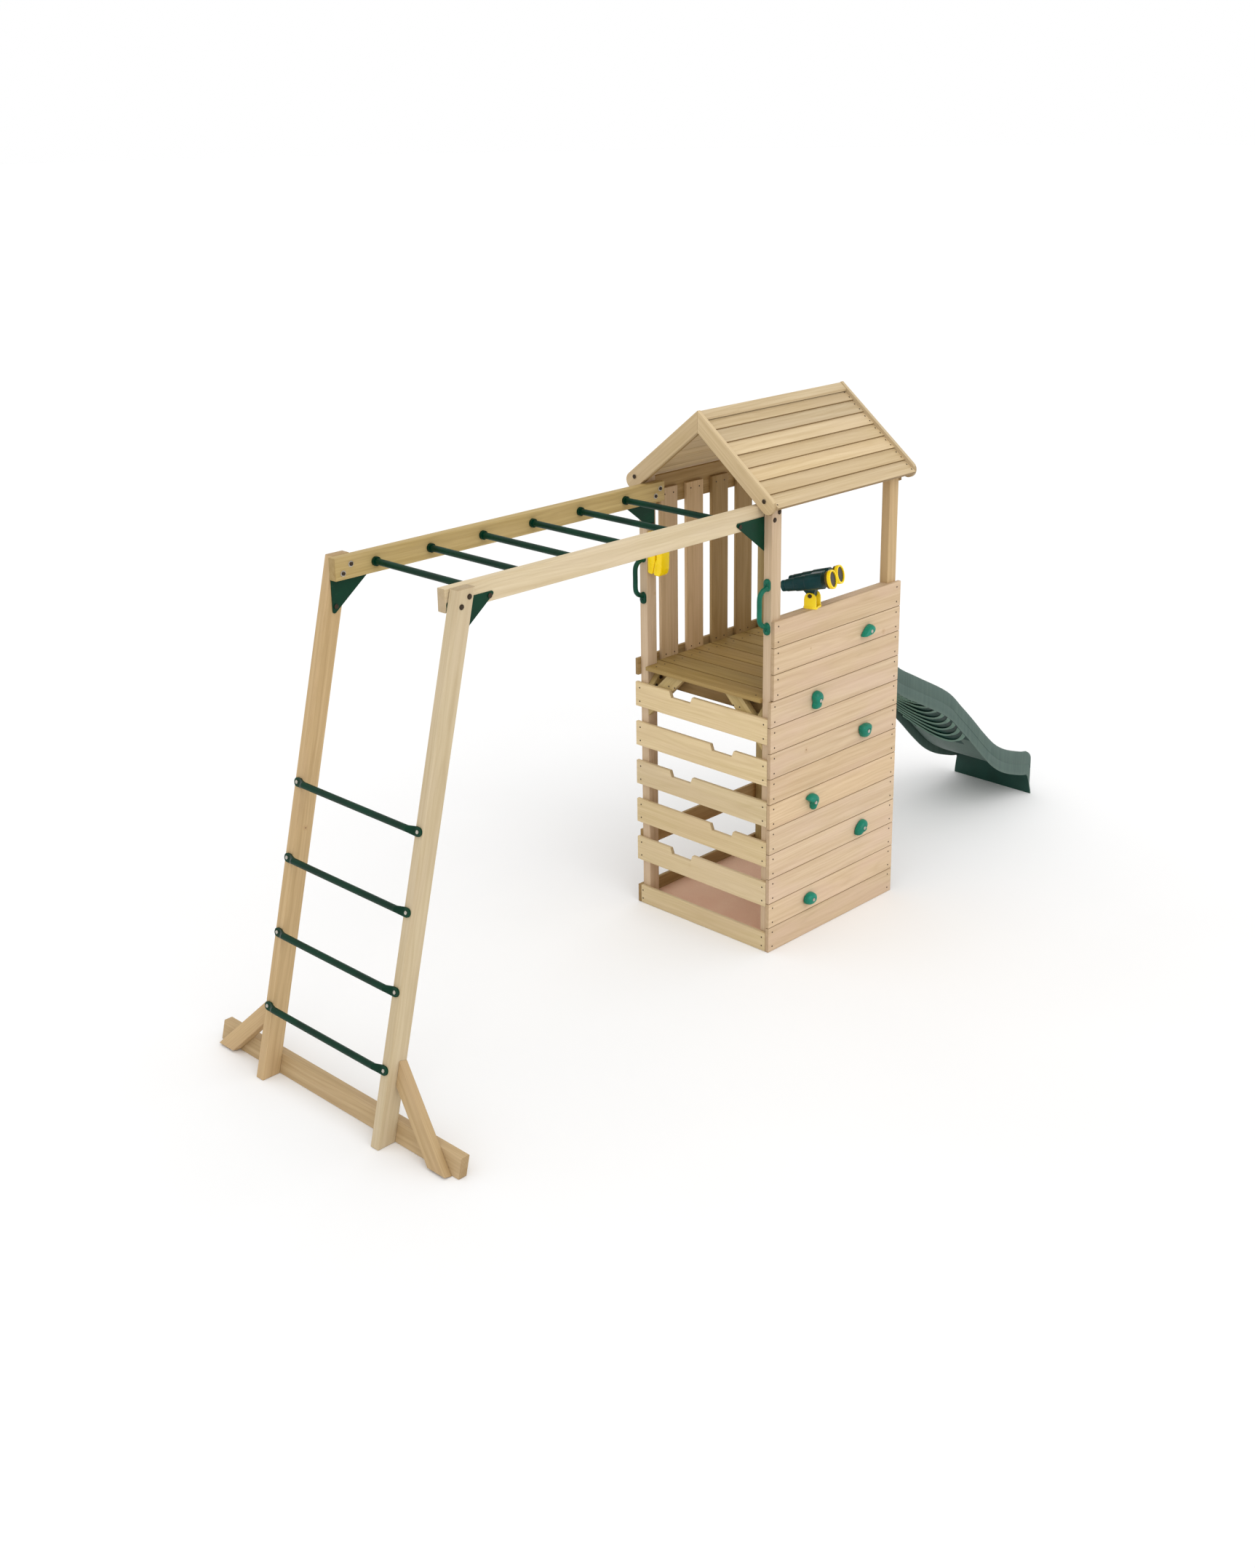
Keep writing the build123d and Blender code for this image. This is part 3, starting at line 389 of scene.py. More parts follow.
def boards(node, material, soften=0.0008):
    """Replaces a node of sawn timbers with one of eased edges, each board with its own grain."""
    bm = clean_copy(node)
    draw = random.Random(node)
    other = LIT_BOARDS.get(node)
    box_low, box_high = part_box(node)
    frames = [board_axes(group) + (group[0].verts[0].co.copy(),) for group in islands(bm)]
    sharp = [edge for edge in bm.edges if edge.is_manifold
             and edge.calc_face_angle() > math.radians(20)]
    bmesh.ops.bevel(bm, geom=sharp, offset=soften, segments=2, profile=0.6, affect="EDGES",
                    clamp_overlap=True)
    grain = bm.verts.layers.float_vector.new("grain")
    tone = bm.verts.layers.float_vector.new("tone")
    end = bm.faces.layers.float.new("endgrain")
    bm.normal_update()
    for group in islands(bm):
        verts = {vert for face in group for vert in face.verts}
        centre = sum((vert.co for vert in verts), Vector()) / len(verts)
        along, across, through = min(frames, key=lambda row: min(
            (vert.co - row[3]).length_squared for vert in verts))[:3]
        numbers = Vector((draw.random(), draw.random(), draw.random()))
        for vert in verts:
            place = vert.co - centre
            vert[grain] = Vector((place.dot(along), place.dot(across), place.dot(through)))
            vert[tone] = numbers
        for face in group:
            # boards in the light get the lighter wood of the second slot, the rest the painted-shade
            # wood: painted light and painted shade
            face.material_index = 1 if other and other[1](centre) else 0
            # end grain is darker; sides that face a neighbouring board get painted shade for the
            # shadow in the gap, outer sides a little
            if abs(face.normal.dot(along)) > 0.5:
                face[end] = 0.5
            elif node in GAP_SHADED_NODES and abs(face.normal.dot(across)) > 0.3:
                ahead = face.calc_center_median() + face.normal * 0.006
                inside = all(box_low[k] - 0.001 < ahead[k] < box_high[k] + 0.001 for k in range(3))
                face[end] = 1.0 if inside else 0.2
    piece = add_piece(node + "_timber", mesh_of(bm, node), material, node)
    if other:
        piece.data.materials.append(other[0])


for node, slot in SLOT_OF.items():
    if slot in WOOD:
        boards(node, PAINTED_SHADE_WOOD.get(node, WOOD[slot]))


def paint(node, material):
    """Gives a CAD node a material."""
    NODES[node].data.materials.clear()
    NODES[node].data.materials.append(material)


for node, slot in SLOT_OF.items():
    if slot == "green_metal":
        paint(node, GREEN_METAL)
    elif slot == "steel" and node not in ("frame_bolts", "ladder_rung_bolts"):
        paint(node, DARK_STEEL)
paint("hold_bolts", BRIGHT_STEEL)
paint("binocular_lenses", LENS)


def smooth_loop(points, per_side=6):
    """A closed curve through 2-D points."""
    loop, count = [], len(points)
    for index in range(count):
        a, b, c, d = (Vector(points[(index + k) % count]) for k in (-1, 0, 1, 2))
        for step in range(per_side):
            t = step / per_side
            loop.append(0.5 * (2 * b + (c - a) * t + (2 * a - 5 * b + 4 * c - d) * t * t
                               + (3 * b - a - 3 * c + d) * t ** 3))
    return loop


def smooth_line(points, per_side=6):
    """An open curve through points."""
    padded = [2 * Vector(points[0]) - Vector(points[1])] + [Vector(p) for p in points]
    padded.append(2 * padded[-1] - padded[-2])
    line = []
    for index in range(1, len(padded) - 2):
        a, b, c, d = padded[index - 1:index + 3]
        for step in range(per_side):
            t = step / per_side
            line.append(0.5 * (2 * b + (c - a) * t + (2 * a - 5 * b + 4 * c - d) * t * t
                               + (3 * b - a - 3 * c + d) * t ** 3))
    line.append(padded[-2])
    return line


def stack(bm, rings, closed=True, caps=(True, True)):
    """Joins rings of points with quads; each ring has as many points as the next."""
    made = [[bm.verts.new(point) for point in ring] for ring in rings]
    count = len(made[0])
    for lower, upper in zip(made, made[1:]):
        for index in range(count if closed else count - 1):
            follow = (index + 1) % count
            bm.faces.new((lower[index], lower[follow], upper[follow], upper[index]))
    if caps[0]:
        bm.faces.new(made[0][::-1])
    if caps[1]:
        bm.faces.new(made[-1])
    return made


def tube(bm, path, radii, sides=20):
    """A round bar along a path of points."""
    rings = []
    side = None
    for index, point in enumerate(path):
        ahead = (path[min(index + 1, len(path) - 1)] - path[max(index - 1, 0)]).normalized()
        if side is None:
            side = ahead.orthogonal().normalized()
        side = (side - ahead * side.dot(ahead)).normalized()
        other = ahead.cross(side)
        rings.append([point + (side * math.cos(a) + other * math.sin(a)) * radii[index]
                      for a in (2 * math.pi * k / sides for k in range(sides))])
    stack(bm, rings)


def plate(bm, outline, origin, right, up, out, profile):
    """A raised shape: its 2-D outline scaled about its centre and lifted, as (share, height) says."""
    centre = sum((Vector(p) for p in outline), Vector((0, 0))) / len(outline)
    rings = []
    for share, height in profile:
        ring = []
        for point in outline:
            flat = centre + (Vector(point) - centre) * share
            ring.append(origin + right * flat.x + up * flat.y + out * height)
        rings.append(ring)
    stack(bm, rings)


def refine(piece, levels=1):
    """Smooths a piece with a subdivision surface."""
    smooth = piece.modifiers.new("smooth", "SUBSURF")
    smooth.levels = smooth.render_levels = levels


# ---------------------------------------------------------------- climbing holds
# each hold's outline in millimetres, seen from outside the wall
HOLD_OUTLINES = (
    ((-34, -12), (-31, 12), (-12, 25), (14, 27), (33, 13), (34, -9), (16, -25), (-13, -27)),
    ((-37, -27), (-33, -4), (-17, 17), (6, 31), (29, 28), (34, 12), (24, 0), (27, -14), (13, -25),
     (-8, -25), (-24, -35)),
    ((-35, 19), (-19, 33), (8, 36), (30, 24), (34, 4), (23, -16), (5, -41), (-4, -27), (-3, -9),
     (-17, 4)),
    ((-33, 24), (-14, 29), (0, 31), (16, 30), (34, 24), (35, 4), (23, -24), (0, -34), (-22, -25),
     (-35, 2)),
    ((-16, -40), (8, -39), (12, -24), (11, -10), (25, 0), (31, 16), (21, 34), (1, 40), (-18, 31),
     (-25, 12), (-18, -8), (-23, -28)),
    ((-41, -22), (-22, 3), (0, 21), (22, 24), (39, 9), (31, -11), (11, -20), (-13, -24)),
)
# (distance along the wall, course) of each hold's middle
HOLD_ROWS = ((0.262, 1), (0.632, 3), (0.264, 5), (0.642, 7), (0.284, 9), (0.644, 11))
HOLD_PROFILE = ((1.0, 0.0), (1.02, 0.006), (1.01, 0.015), (0.95, 0.024), (0.83, 0.031),
                (0.66, 0.0350), (0.48, 0.0368), (0.36, 0.0370), (0.31, 0.0362), (0.295, 0.0338),
                (0.1, 0.0334))
bm = bmesh.new()
for outline, (x, row) in zip(HOLD_OUTLINES, HOLD_ROWS):
    loop = [point / 1000 for point in smooth_loop(outline, 4)]
    plate(bm, loop, Vector((X0 + x, Y0 - BOARD, row * COURSE + COURSE / 2)), Vector((1, 0, 0)),
          Vector((0, 0, 1)), Vector((0, -1, 0)), HOLD_PROFILE)
bmesh.ops.recalc_face_normals(bm, faces=bm.faces)
refine(add_piece("sculpted_holds", mesh_of(bm, "holds"), TEAL, "climbing_holds", 80))


# ---------------------------------------------------------------- grab handles
def slot_outline(length, width, steps=8):
    """An upright slot with round ends."""
    points = []
    for centre, start in (((length - width) / 2, 0.0), ((width - length) / 2, math.pi)):
        for k in range(steps + 1):
            a = start + math.pi * k / steps
            points.append(Vector((math.cos(a) * width / 2, centre + math.sin(a) * width / 2)))
    return points


PAD_PROFILE = ((1.0, 0.0), (1.0, 0.0040), (0.96, 0.0070), (0.86, 0.0086), (0.5, 0.009))
PAD_LENGTH, PAD_WIDTH = 0.056, 0.036
GRIP_INSET, SCREW_INSET = 0.041, 0.0135  # from the handle's ends
GRIP_RADIUS, GRIP_FLARE = 0.0112, 0.0050
for side in ("near", "far"):
    low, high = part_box(f"grab_handle_{side}")
    y = (low.y + high.y) / 2
    bm = bmesh.new()
    for z in (low.z + PAD_LENGTH / 2, high.z - PAD_LENGTH / 2):
        plate(bm, slot_outline(PAD_LENGTH, PAD_WIDTH), Vector((X0, y, z)), Vector((0, 1, 0)),
              Vector((0, 0, 1)), Vector((-1, 0, 0)), PAD_PROFILE)
    bottom, top = low.z + GRIP_INSET, high.z - GRIP_INSET
    path = smooth_line([(X0 - 0.002, y, bottom), (X0 - 0.014, y, bottom + 0.002),
                        (X0 - 0.033, y, bottom + 0.009), (X0 - 0.047, y, bottom + 0.024),
                        (X0 - 0.052, y, bottom + 0.045), (X0 - 0.052, y, (bottom + top) / 2),
                        (X0 - 0.052, y, top - 0.045), (X0 - 0.047, y, top - 0.024),
                        (X0 - 0.033, y, top - 0.009), (X0 - 0.014, y, top - 0.002),
                        (X0 - 0.002, y, top)], 5)
    count = len(path)
    radii = []
    for index in range(count):
        near_end = min(index, count - 1 - index)
        radii.append(GRIP_RADIUS + GRIP_FLARE * max(0.0, 1 - near_end / 6))
    tube(bm, path, radii, 18)
    for z in (low.z + SCREW_INSET, high.z - SCREW_INSET):
        tube(bm, [Vector((X0 - 0.0070, y, z)), Vector((X0 - 0.0120, y, z)),
                  Vector((X0 - 0.0150, y, z))], (0.0105, 0.0096, 0.0060), 16)
    bmesh.ops.recalc_face_normals(bm, faces=bm.faces)
    # the far handle takes the darker copy: painted shade
    add_piece(f"handle_{side}", mesh_of(bm, "handle"),
              HANDLE_GREEN if side == "near" else HANDLE_SHADED, f"grab_handle_{side}", 40)


# ---------------------------------------------------------------- slide
# (distance from the tower's slide side, height) down the middle of the sliding surface
FLOOR_LINE = ((0.017, 1.206), (0.070, 1.186), (0.130, 1.118), (0.215, 1.020), (0.325, 0.925),
              (0.480, 0.840), (0.740, 0.699), (0.876, 0.583), (0.982, 0.486), (1.090, 0.382),
              (1.198, 0.290), (1.310, 0.225), (1.455, 0.172), (1.520, 0.156))
SLIDE_LOW, SLIDE_HIGH = Y0 + 0.190, Y0 + 0.650
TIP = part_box("slide")[1].x
stations = [Vector((X1 + p.x, p.y)) for p in smooth_line(FLOOR_LINE, 6)]
# (across from a side, above the floor) round one half of the moulding: its outside from the
# skirt's foot to the middle, and its underside back again
SKIRT = 0.045  # how far the side skirts hang below the floor
HALF = ((0.0000, -0.045), (0.0000, -0.020), (0.0000, 0.012), (0.0016, 0.0145), (0.0016, 0.0165),
        (0.0000, 0.0190), (0.0000, 0.060), (0.0008, 0.080),
        (0.0045, 0.0875), (0.0120, 0.0900), (0.0195, 0.0875), (0.0235, 0.080), (0.0240, 0.060),
        (0.0250, 0.035), (0.0300, 0.016), (0.0420, 0.005), (0.0600, 0.0015), (0.1200, 0.0))
UNDER = ((0.1200, -0.007), (0.0560, -0.006), (0.0380, -0.003), (0.0260, 0.006), (0.0190, 0.022),
         (0.0160, 0.050), (0.0140, 0.076), (0.0100, 0.081), (0.0065, 0.076), (0.0060, 0.040),
         (0.0060, -0.045))


def slide_ring(x, floor, top=1.0, foot=None):
    """The moulding's section at one place; foot is the height of its skirts' lower edge."""
    width = SLIDE_HIGH - SLIDE_LOW
    half = list(HALF) + [(width / 2, 0.0)]
    under = [(width / 2, -0.007)] + list(UNDER)
    ring = []
    shape = [(a, b) for a, b in half] + [(width - a, b) for a, b in reversed(HALF)]
    shape += [(width - a, b) for a, b in reversed(UNDER)] + [(a, b) for a, b in under]
    for across, above in shape:
        z = floor + (above * top if above > 0 else above)
        if foot is not None and above < -0.015:
            z = foot + (above + SKIRT) * (floor - foot) / SKIRT * 0.6
        ring.append(Vector((x, SLIDE_LOW + across, z)))
    return ring


bm = bmesh.new()
rings = [slide_ring(p.x, p.y, min(1.0, 0.55 + 2.2 * (p.x - X1))) for p in stations]
last = stations[-1]
# the run-out: share of the way to the tip, floor, height of the walls, skirts' lower edge
for share, floor, top, foot in ((0.25, 0.154, 0.97, 0.098), (0.5, 0.150, 0.95, 0.074),
                                (0.75, 0.142, 0.95, 0.042), (0.92, 0.130, 1.00, 0.012),
                                (1.0, 0.118, 1.06, 0.0)):
    rings.append(slide_ring(last.x + (TIP - last.x) * share, floor, top, foot))
stack(bm, rings)
bmesh.ops.recalc_face_normals(bm, faces=bm.faces)


def slab(points, thickness, wide):
    """A flat bar along a line of points, its top level across them, hanging by its thickness."""
    down = Vector((0, 0, -thickness))
    sections = []
    for index, point in enumerate(points):
        ahead = points[min(index + 1, len(points) - 1)] - points[max(index - 1, 0)]
        side = Vector((-ahead.y, ahead.x, 0.0)).normalized()
        sections.append([point + side * wide, point - side * wide, point - side * wide + down,
                         point + side * wide + down])
    stack(bm, sections)


def floor_at(x):
    """Height of the sliding surface at a place along X."""
    for a, b in zip(stations, stations[1:]):
        if a.x <= x <= b.x:
            return a.y + (b.y - a.y) * (x - a.x) / (b.x - a.x)
    return stations[-1].y


middle = (SLIDE_LOW + SLIDE_HIGH) / 2
reach = (SLIDE_HIGH - SLIDE_LOW) / 2 - 0.030
RIBS, RIB_TOP = 13, 0.006  # ribs of each kind, and how far below the floor they start
for k in range(RIBS):  # curved ribs across the underside
    centre_x = X1 + 0.52 + 0.0467 * k
    points = []
    for step in range(17):
        share = -1 + step / 8
        x = centre_x - 0.13 * share * share
        points.append(Vector((x, middle + share * reach, floor_at(x) - RIB_TOP)))
    slab(points, 0.009, 0.0100)
for k in range(RIBS):  # crossing ribs nearer the tower
    for way in (-1, 1):
        points = []
        for step in range(9):
            x = X1 + 0.03 + 0.060 * k + 0.060 * step
            y = middle + way * reach * (step / 4 - 1)
            if x < X1 + 0.80:
                points.append(Vector((x, y, floor_at(x) - RIB_TOP)))
        if len(points) > 2:
            slab(points, 0.008, 0.0040)
# the end plate that stands on the ground, a little wider at its foot
plate_rings = []
for z, flare, lean in ((0.128, -0.004, 0.012), (0.100, 0.002, 0.009), (0.060, 0.010, 0.005),
                       (0.020, 0.016, 0.002), (0.0, 0.018, 0.0)):
    front, back_x = TIP - 0.012 - lean, TIP - lean - 0.019
    plate_rings.append([Vector((front, SLIDE_LOW - flare, z)), Vector((front, SLIDE_HIGH + flare, z)),
                        Vector((back_x, SLIDE_HIGH + flare, z)),
                        Vector((back_x, SLIDE_LOW - flare, z))])
stack(bm, plate_rings)
# the lip that lies on the deck
lip = []
for x, z, thick in ((X1 - 0.030, 1.2022, 0.0020), (X1 - 0.027, 1.2050, 0.0046),
                    (X1 - 0.010, 1.2060, 0.0056), (X1 + 0.0168, 1.2060, 0.0056)):
    lip.append([Vector((x, SLIDE_LOW + 0.006, z)), Vector((x, SLIDE_HIGH - 0.006, z)),
                Vector((x, SLIDE_HIGH - 0.006, z - thick)), Vector((x, SLIDE_LOW + 0.006, z - thick))])
stack(bm, lip)
bmesh.ops.recalc_face_normals(bm, faces=bm.faces)
slide_piece = add_piece("slide_moulding", mesh_of(bm, "slide"), SLIDE, "slide", 40)
slide_piece.data.materials.append(SLIDE_UNDER_SHADED)
slide_piece.data.materials.append(SLIDE_RIB_LIT)
PLAIN, SHADED_UNDER_SIDE, RIB = range(3)  # the slide's material slots
# underside faces get the painted-shade moulding, the ribs a lighter painted-light one
for face in slide_piece.data.polygons:
    spot = face.center
    below = floor_at(spot.x) - spot.z
    if spot.x > TIP - 0.034 and spot.z < 0.14 and face.normal.x < -0.5:
        face.material_index = SHADED_UNDER_SIDE
    elif (below > 0.003 and SLIDE_LOW + 0.003 < spot.y < SLIDE_HIGH - 0.003
          and spot.x < X1 + 1.09 - 0.1 * ((spot.y - middle) / reach) ** 2):
        on_rib = below > 0.0125 and SLIDE_LOW + 0.03 < spot.y < SLIDE_HIGH - 0.03
        face.material_index = RIB if on_rib else SHADED_UNDER_SIDE
    elif below > 0.015 and spot.y > SLIDE_HIGH - 0.01 and face.normal.y < -0.5:
        face.material_index = SHADED_UNDER_SIDE
    else:
        face.material_index = PLAIN

# ---------------------------------------------------------------- toy binoculars
AIM_YAW, AIM_TILT = math.radians(-72.5), math.radians(13.5)
level_aim = Vector((math.cos(AIM_YAW), math.sin(AIM_YAW), 0.0))
aim = level_aim * math.cos(AIM_TILT) + Vector((0, 0, math.sin(AIM_TILT)))
across = Vector((-math.sin(AIM_YAW), math.cos(AIM_YAW), 0.0))
above = aim.cross(across)
if above.z < 0:
    above = -above
BARREL_LENGTH, BARREL_HEIGHT, REAR_SHARE = 0.243, 0.064, 0.457
BARREL_APART, RING_PLACE, PIVOT_HEIGHT = 0.045, 0.219, 0.058
swivel = Vector((X0 + 0.290, Y0 + 0.010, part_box("binocular_bracket")[0].z))
pivot = swivel + Vector((0, 0, PIVOT_HEIGHT))
rear = pivot + above * BARREL_HEIGHT - aim * (BARREL_LENGTH * REAR_SHARE)


def turned(bm, origin, axis, profile, sides=40):
    """A turned shape about an axis, from (along, radius) pairs."""
    side = axis.orthogonal().normalized()
    other = axis.cross(side)
    rings = []
    for along, radius in profile:
        rings.append([origin + axis * along
                      + (side * math.cos(a) + other * math.sin(a)) * radius
                      for a in (2 * math.pi * k / sides for k in range(sides))])
    stack(bm, rings)


def bolts(node, small=False):
    """Domed heads at the outer ends of a CAD node's bolts, nuts on bright washers at the others."""
    source = clean_copy(node)
    bm = bmesh.new()

    def add(origin, axis, profile, bright, sides=24):
        first = len(bm.faces)
        turned(bm, origin, axis, profile, sides)
        bm.faces.ensure_lookup_table()
        for face in bm.faces[first:]:
            face.material_index = int(bright)

    for group in islands(source):
        discs = [face for face in group if len(face.verts) > 10]
        axis = max(discs, key=lambda face: face.calc_area()).normal.copy()
        ends = []
        for outward in (-axis, axis):
            face = max(discs, key=lambda row: row.calc_center_median().dot(outward))
            centre = face.calc_center_median()
            ends.append((centre, outward, max((v.co - centre).length for v in face.verts)))
        span = (ends[1][0] - ends[0][0]).length
        if span < 0.015:
            r = 0.0075 if small else 0.0098
            add(ends[0][0], axis, ((0.0, r * 0.45), (0.0012, r * 0.8), (0.0026, r),
                                   (span - 0.0026, r), (span - 0.0012, r * 0.8),
                                   (span, r * 0.45)), small)
            continue
        add(ends[0][0] + axis * 0.002, axis, ((0.0, 0.0045), (span - 0.004, 0.0045)), True)
        for centre, outward, radius in ends:
            seat = centre - outward * 0.006
            if radius > 0.010:
                add(seat, outward, ((0.0, 0.0105), (0.0016, 0.0105), (0.0018, 0.0084),
                                    (0.0044, 0.0074), (0.0060, 0.0040)), False)
            else:
                add(seat, outward, ((0.0, 0.0122), (0.0016, 0.0122), (0.0018, 0.0116)), True)
                add(seat, outward, ((0.0017, 0.0084), (0.0052, 0.0084), (0.0060, 0.0072)), False, 6)
    source.free()
    bmesh.ops.recalc_face_normals(bm, faces=bm.faces)
    piece = add_piece(node + "_detailed", mesh_of(bm, node), DARK_STEEL, node, 40)
    piece.data.materials.append(BRIGHT_STEEL)


bolts("frame_bolts")
bolts("ladder_rung_bolts", True)

BARREL = ((0.0, 0.0205), (0.0006, 0.0235), (0.002, 0.0248), (0.016, 0.0252), (0.0175, 0.0246),
          (0.0195, 0.0246), (0.021, 0.0262), (0.0235, 0.0272), (0.060, 0.0288), (0.0620, 0.0292),
          (0.0665, 0.0312), (0.0685, 0.0316), (0.112, 0.0330), (0.1140, 0.0332), (0.1180, 0.0352),
          (0.1200, 0.0356), (0.190, 0.0372), (0.196, 0.0372))
bm = bmesh.new()
for way in (-1, 1):
    turned(bm, rear + across * way * BARREL_APART, aim, BARREL)
bmesh.ops.recalc_face_normals(bm, faces=bm.faces)
# bridge with a rounded section, and the hinge post between the barrels
for start, end, half_width, low_edge, high_edge in ((0.070, 0.112, 0.040, -0.014, 0.020),
                                                    (0.120, 0.186, 0.040, -0.018, 0.026)):
    outline = smooth_loop(((-half_width, low_edge), (0, low_edge - 0.002), (half_width, low_edge),
                           (half_width, high_edge), (0, high_edge + 0.004),
                           (-half_width, high_edge)), 4)
    rings = []
    for along, share in ((start, 0.86), (start + 0.003, 0.97), (start + 0.006, 1.0),
                         (end - 0.006, 1.0), (end - 0.003, 0.97), (end, 0.86)):
        rings.append([rear + aim * along + across * p.x * share + above * p.y * share
                      for p in outline])
    stack(bm, rings)
# the lug that hangs between the stand's ears
lug = [(-0.037, 0.060), (-0.033, 0.032), (-0.016, 0.006), (-0.013, -0.006), (-0.008, -0.012),
       (0.0, -0.014), (0.008, -0.012), (0.013, -0.006), (0.016, 0.006), (0.033, 0.032),
       (0.037, 0.060)]
rings = []
for depth, share in ((-0.0226, 0.92), (-0.0216, 1.0), (0.0216, 1.0), (0.0226, 0.92)):
    rings.append([pivot + across * depth + aim * a * share + above * b for a, b in lug])
stack(bm, rings)
bmesh.ops.recalc_face_normals(bm, faces=bm.faces)
add_piece("binocular_bodies", mesh_of(bm, "barrels"), BODY_TEAL, "binocular_barrels", 35)

RING = ((-0.004, 0.0372), (-0.002, 0.0392), (0.004, 0.0402), (0.008, 0.0404), (0.0086, 0.0412),
        (0.0095, 0.0418), (0.021, 0.0418), (0.0233, 0.0410), (0.0240, 0.0395), (0.0240, 0.0352),
        (0.0232, 0.0342), (0.0150, 0.0336))
bm = bmesh.new()
for way in (-1, 1):
    turned(bm, rear + across * way * BARREL_APART + aim * RING_PLACE, aim, RING)
bmesh.ops.recalc_face_normals(bm, faces=bm.faces)
rings_piece = add_piece("binocular_rings", mesh_of(bm, "rings"), YELLOW, "binocular_lens_rings", 40)
rings_piece.data.materials.append(BROWN)
for face in rings_piece.data.polygons:
    along = (face.center - rear).dot(aim) - RING_PLACE
    from_axis = min((face.center - rear - across * way * BARREL_APART
                     - aim * (face.center - rear).dot(aim)).length for way in (-1, 1))
    if along < 0.0082 and from_axis > 0.036:
        face.material_index = 1

# the stand: two ears on a base that turns on its screw
bm = bmesh.new()
ear_outline = [(-0.028, 0.0), (-0.028, 0.040), (-0.0265, 0.052), (-0.021, 0.063), (-0.012, 0.070),
               (0.0, 0.072), (0.012, 0.070), (0.021, 0.063), (0.0265, 0.052), (0.028, 0.040),
               (0.028, 0.0)]
for way in (-1, 1):
    rings = []
    for depth, share in ((0.0232, 0.96), (0.0240, 1.0), (0.0295, 1.0), (0.0310, 0.96)):
        rings.append([swivel + across * way * depth + level_aim * a * share
                      + Vector((0, 0, b * (0.985 if share < 1 else 1.0))) for a, b in ear_outline])
    stack(bm, rings)
base_loop = smooth_loop(((-0.028, -0.030), (0.028, -0.030), (0.029, 0.0), (0.028, 0.030),
                         (-0.028, 0.030), (-0.029, 0.0)), 4)
plate(bm, base_loop, swivel, level_aim, across, Vector((0, 0, 1)),
      ((1.0, 0.0), (1.0, 0.0070), (0.97, 0.0088), (0.6, 0.0090)))
bmesh.ops.recalc_face_normals(bm, faces=bm.faces)
add_piece("binocular_stand", mesh_of(bm, "stand"), YELLOW, "binocular_bracket", 35)

# ---------------------------------------------------------------- toy telephone
phone_low, phone_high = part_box("telephone_base")
hand_low, hand_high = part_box("telephone_handset")


def moulding(name, outline, left, right, material, node, round_edge):
    """A moulding with a (y, z) outline between two places along X and rounded edges."""
    bm = bmesh.new()
    rings = [[Vector((x, y, z)) for y, z in outline] for x in (left, right)]
    stack(bm, rings)
    bmesh.ops.recalc_face_normals(bm, faces=bm.faces)
    sharp = [edge for edge in bm.edges if edge.calc_face_angle(0) > math.radians(15)]
    bmesh.ops.bevel(bm, geom=sharp, offset=round_edge, segments=4, profile=0.5, affect="EDGES",
                    clamp_overlap=True)
    add_piece(name, mesh_of(bm, name), material, node, 35)


back, front, top, bottom = phone_high.y, phone_low.y, phone_high.z, phone_low.z
moulding("phone_base", [(back, bottom + 0.004), (back, top), (front + 0.004, top),
                        (front, top - 0.012), (front, bottom + 0.062),
                        (front + 0.012, bottom + 0.016), (front + 0.020, bottom)],
         phone_low.x, phone_high.x, YELLOW, "telephone_base", 0.008)
nose = hand_low.y
seam = front - 0.0016
moulding("phone_handset", [(seam, top - 0.012), (seam, top - 0.058), (seam - 0.0087, top - 0.072),
                           (seam - 0.0087, bottom + 0.076), (seam, bottom + 0.062),
                           (seam + 0.010, bottom + 0.014), (seam + 0.006, bottom - 0.002),
                           (nose + 0.020, bottom - 0.003), (nose + 0.010, bottom + 0.008),
                           (nose + 0.003, bottom + 0.030), (nose, (top + bottom) / 2),
                           (nose + 0.003, top - 0.030), (nose + 0.010, top - 0.006),
                           (nose + 0.020, top)],
         hand_low.x, hand_high.x, YELLOW, "telephone_handset", 0.008)

# ---------------------------------------------------------------- sand
low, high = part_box("sand_bed")
bm = bmesh.new()
draw = random.Random("sand")
count_x, count_y, gap = 60, 54, 0.001
bumps = [(draw.uniform(low.x, high.x), draw.uniform(low.y, high.y), draw.uniform(0.03, 0.11),
          draw.uniform(-0.006, 0.006)) for _ in range(70)]
top_grid = []
for i in range(count_x + 1):
    row = []
    for j in range(count_y + 1):
        x = low.x + gap + (high.x - low.x - 2 * gap) * i / count_x
        y = low.y + gap + (high.y - low.y - 2 * gap) * j / count_y
        z = high.z + sum(h * math.exp(-((x - a) ** 2 + (y - b) ** 2) / (r * r))
                         for a, b, r, h in bumps)
        row.append(bm.verts.new((x, y, z)))
    top_grid.append(row)
for i in range(count_x):
    for j in range(count_y):
        bm.faces.new((top_grid[i][j], top_grid[i + 1][j], top_grid[i + 1][j + 1],
                      top_grid[i][j + 1]))
rim = ([top_grid[i][0] for i in range(count_x + 1)]
       + [top_grid[count_x][j] for j in range(1, count_y + 1)]
       + [top_grid[i][count_y] for i in range(count_x - 1, -1, -1)]
       + [top_grid[0][j] for j in range(count_y - 1, 0, -1)])
foot = [bm.verts.new((vert.co.x, vert.co.y, 0.0)) for vert in rim]
for index in range(len(rim)):
    follow = (index + 1) % len(rim)
    bm.faces.new((rim[index], foot[index], foot[follow], rim[follow]))
bm.faces.new(foot)
bmesh.ops.recalc_face_normals(bm, faces=bm.faces)
add_piece("sand_surface", mesh_of(bm, "sand"), SAND, "sand_bed", 60)

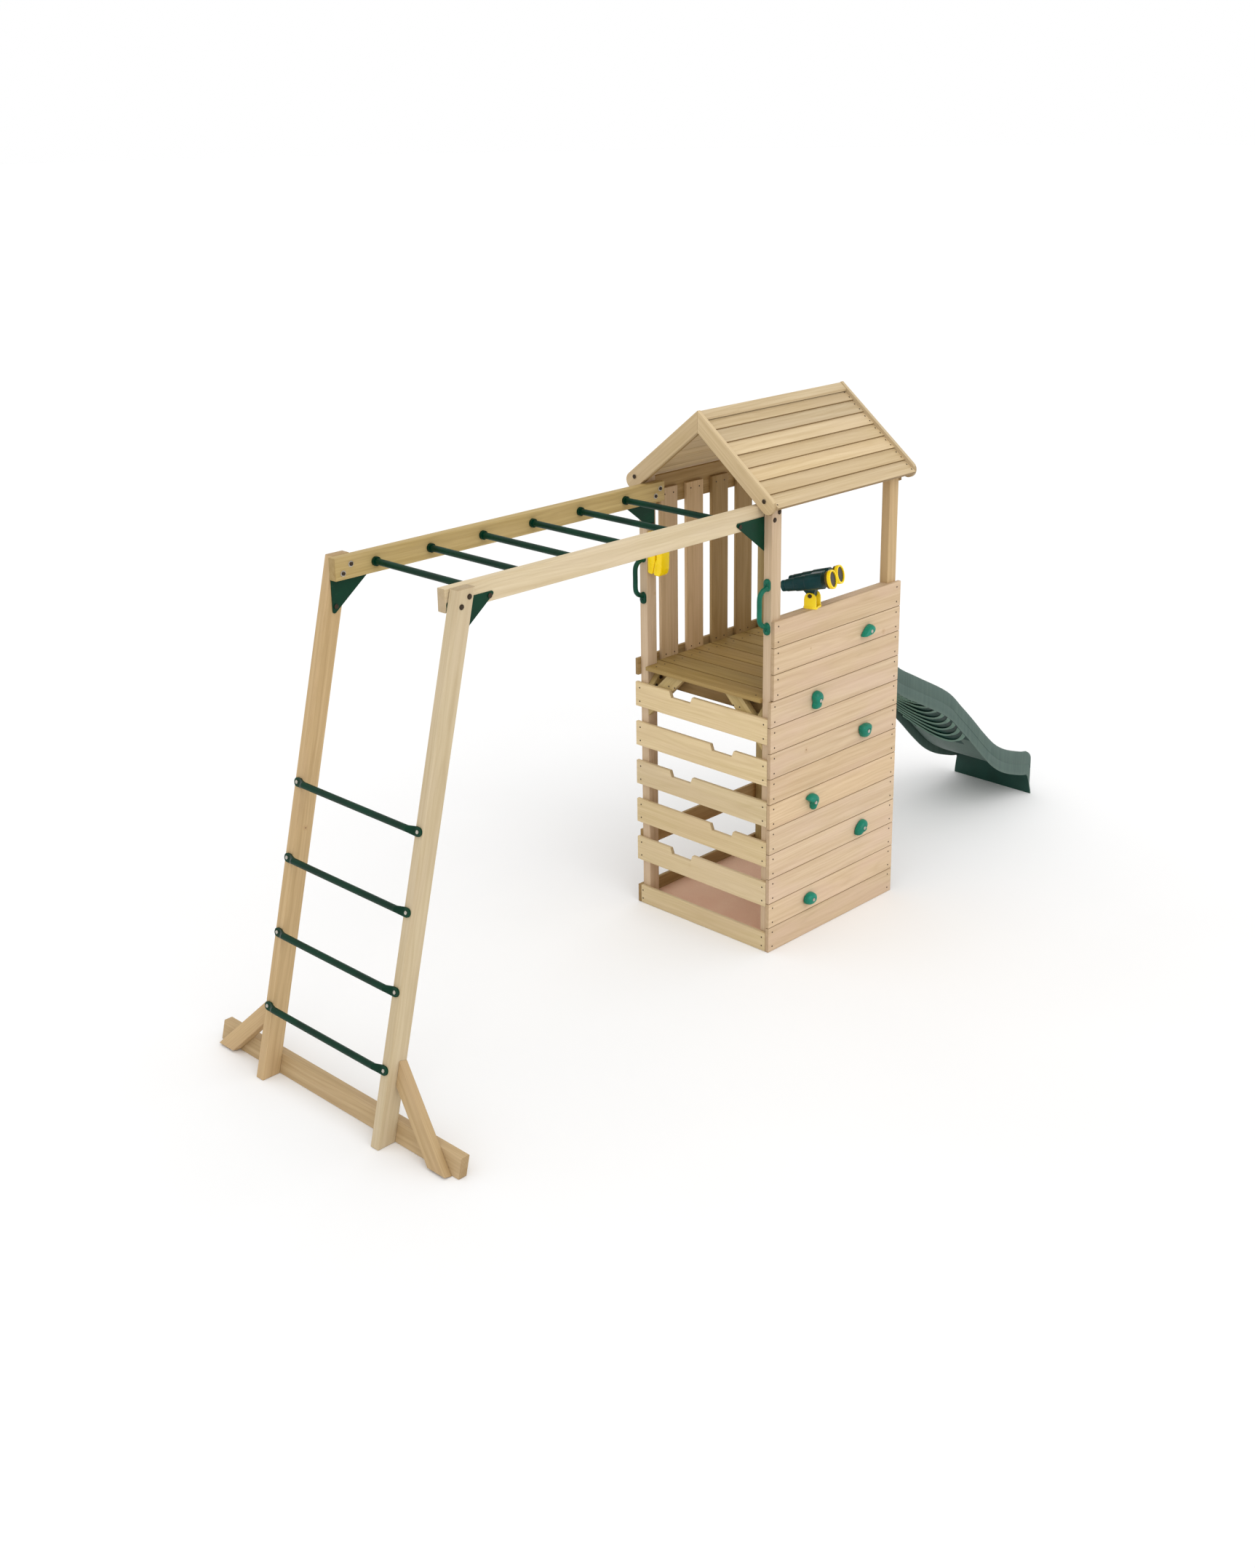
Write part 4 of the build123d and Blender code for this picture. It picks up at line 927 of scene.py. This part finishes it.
# ---------------------------------------------------------------- floor, light, camera
g = Graph("studio_floor")
where = g("TexCoord", out=3)
patch = g.noise(where, 0.5, 2.0)
pale = g.mix(g.ramp(patch, 0.3, 0.7), (0.91, 0.91, 0.91, 1), (0.93, 0.93, 0.93, 1))
floor_material = g.finish(pale, 0.9, patch, 0.02, 0.001, Specular_IOR_Level=0.1)
bm = bmesh.new()
bmesh.ops.create_circle(bm, cap_ends=True, radius=80.0, segments=96)
floor_mesh = mesh_of(bm, "floor")
floor_mesh.materials.append(floor_material)
floor = bpy.data.objects.new("floor", floor_mesh)
floor.location.z = -0.0005
bpy.context.scene.collection.objects.link(floor)

world = bpy.data.worlds.new("studio")
bpy.context.scene.world = world
world.use_nodes = True
background = world.node_tree.nodes["Background"]
background.inputs["Color"].default_value = (1.0, 1.0, 1.0, 1.0)
background.inputs["Strength"].default_value = 1.0


def sun(name, direction, strength, angle, color):
    """A soft sun that shines along a direction; angle is its width in degrees."""
    lamp = bpy.data.lights.new(name, "SUN")
    lamp.energy, lamp.angle, lamp.color = strength, math.radians(angle), color
    holder = bpy.data.objects.new(name, lamp)
    holder.rotation_mode = "QUATERNION"
    holder.rotation_quaternion = Vector(direction).to_track_quat("-Z", "Y")
    bpy.context.scene.collection.objects.link(holder)


sun("key", (0.25, 0.75, -0.80), 0.60, 50.0, (1.0, 0.995, 0.99))

YAW, PITCH, ROLL = 0.791, -0.328, -0.015
forward = Vector((math.sin(YAW) * math.cos(PITCH), math.cos(YAW) * math.cos(PITCH),
                  math.sin(PITCH)))
right = forward.cross(Vector((0, 0, 1))).normalized()
up = right.cross(forward)
rolled_right = right * math.cos(ROLL) + up * math.sin(ROLL)
rolled_up = up * math.cos(ROLL) - right * math.sin(ROLL)
lens = bpy.data.cameras.new("camera")
lens.lens = 42.43
lens.sensor_width = 36.0
lens.shift_y = -0.0594
lens.clip_end = 400.0
camera = bpy.data.objects.new("camera", lens)
place = Matrix((rolled_right, rolled_up, -forward)).transposed().to_4x4()
place.translation = Vector((-5.9155, -5.271, 3.831))
camera.matrix_world = place
bpy.context.scene.collection.objects.link(camera)
bpy.context.scene.camera = camera
bpy.context.scene.view_settings.view_transform = "Standard"
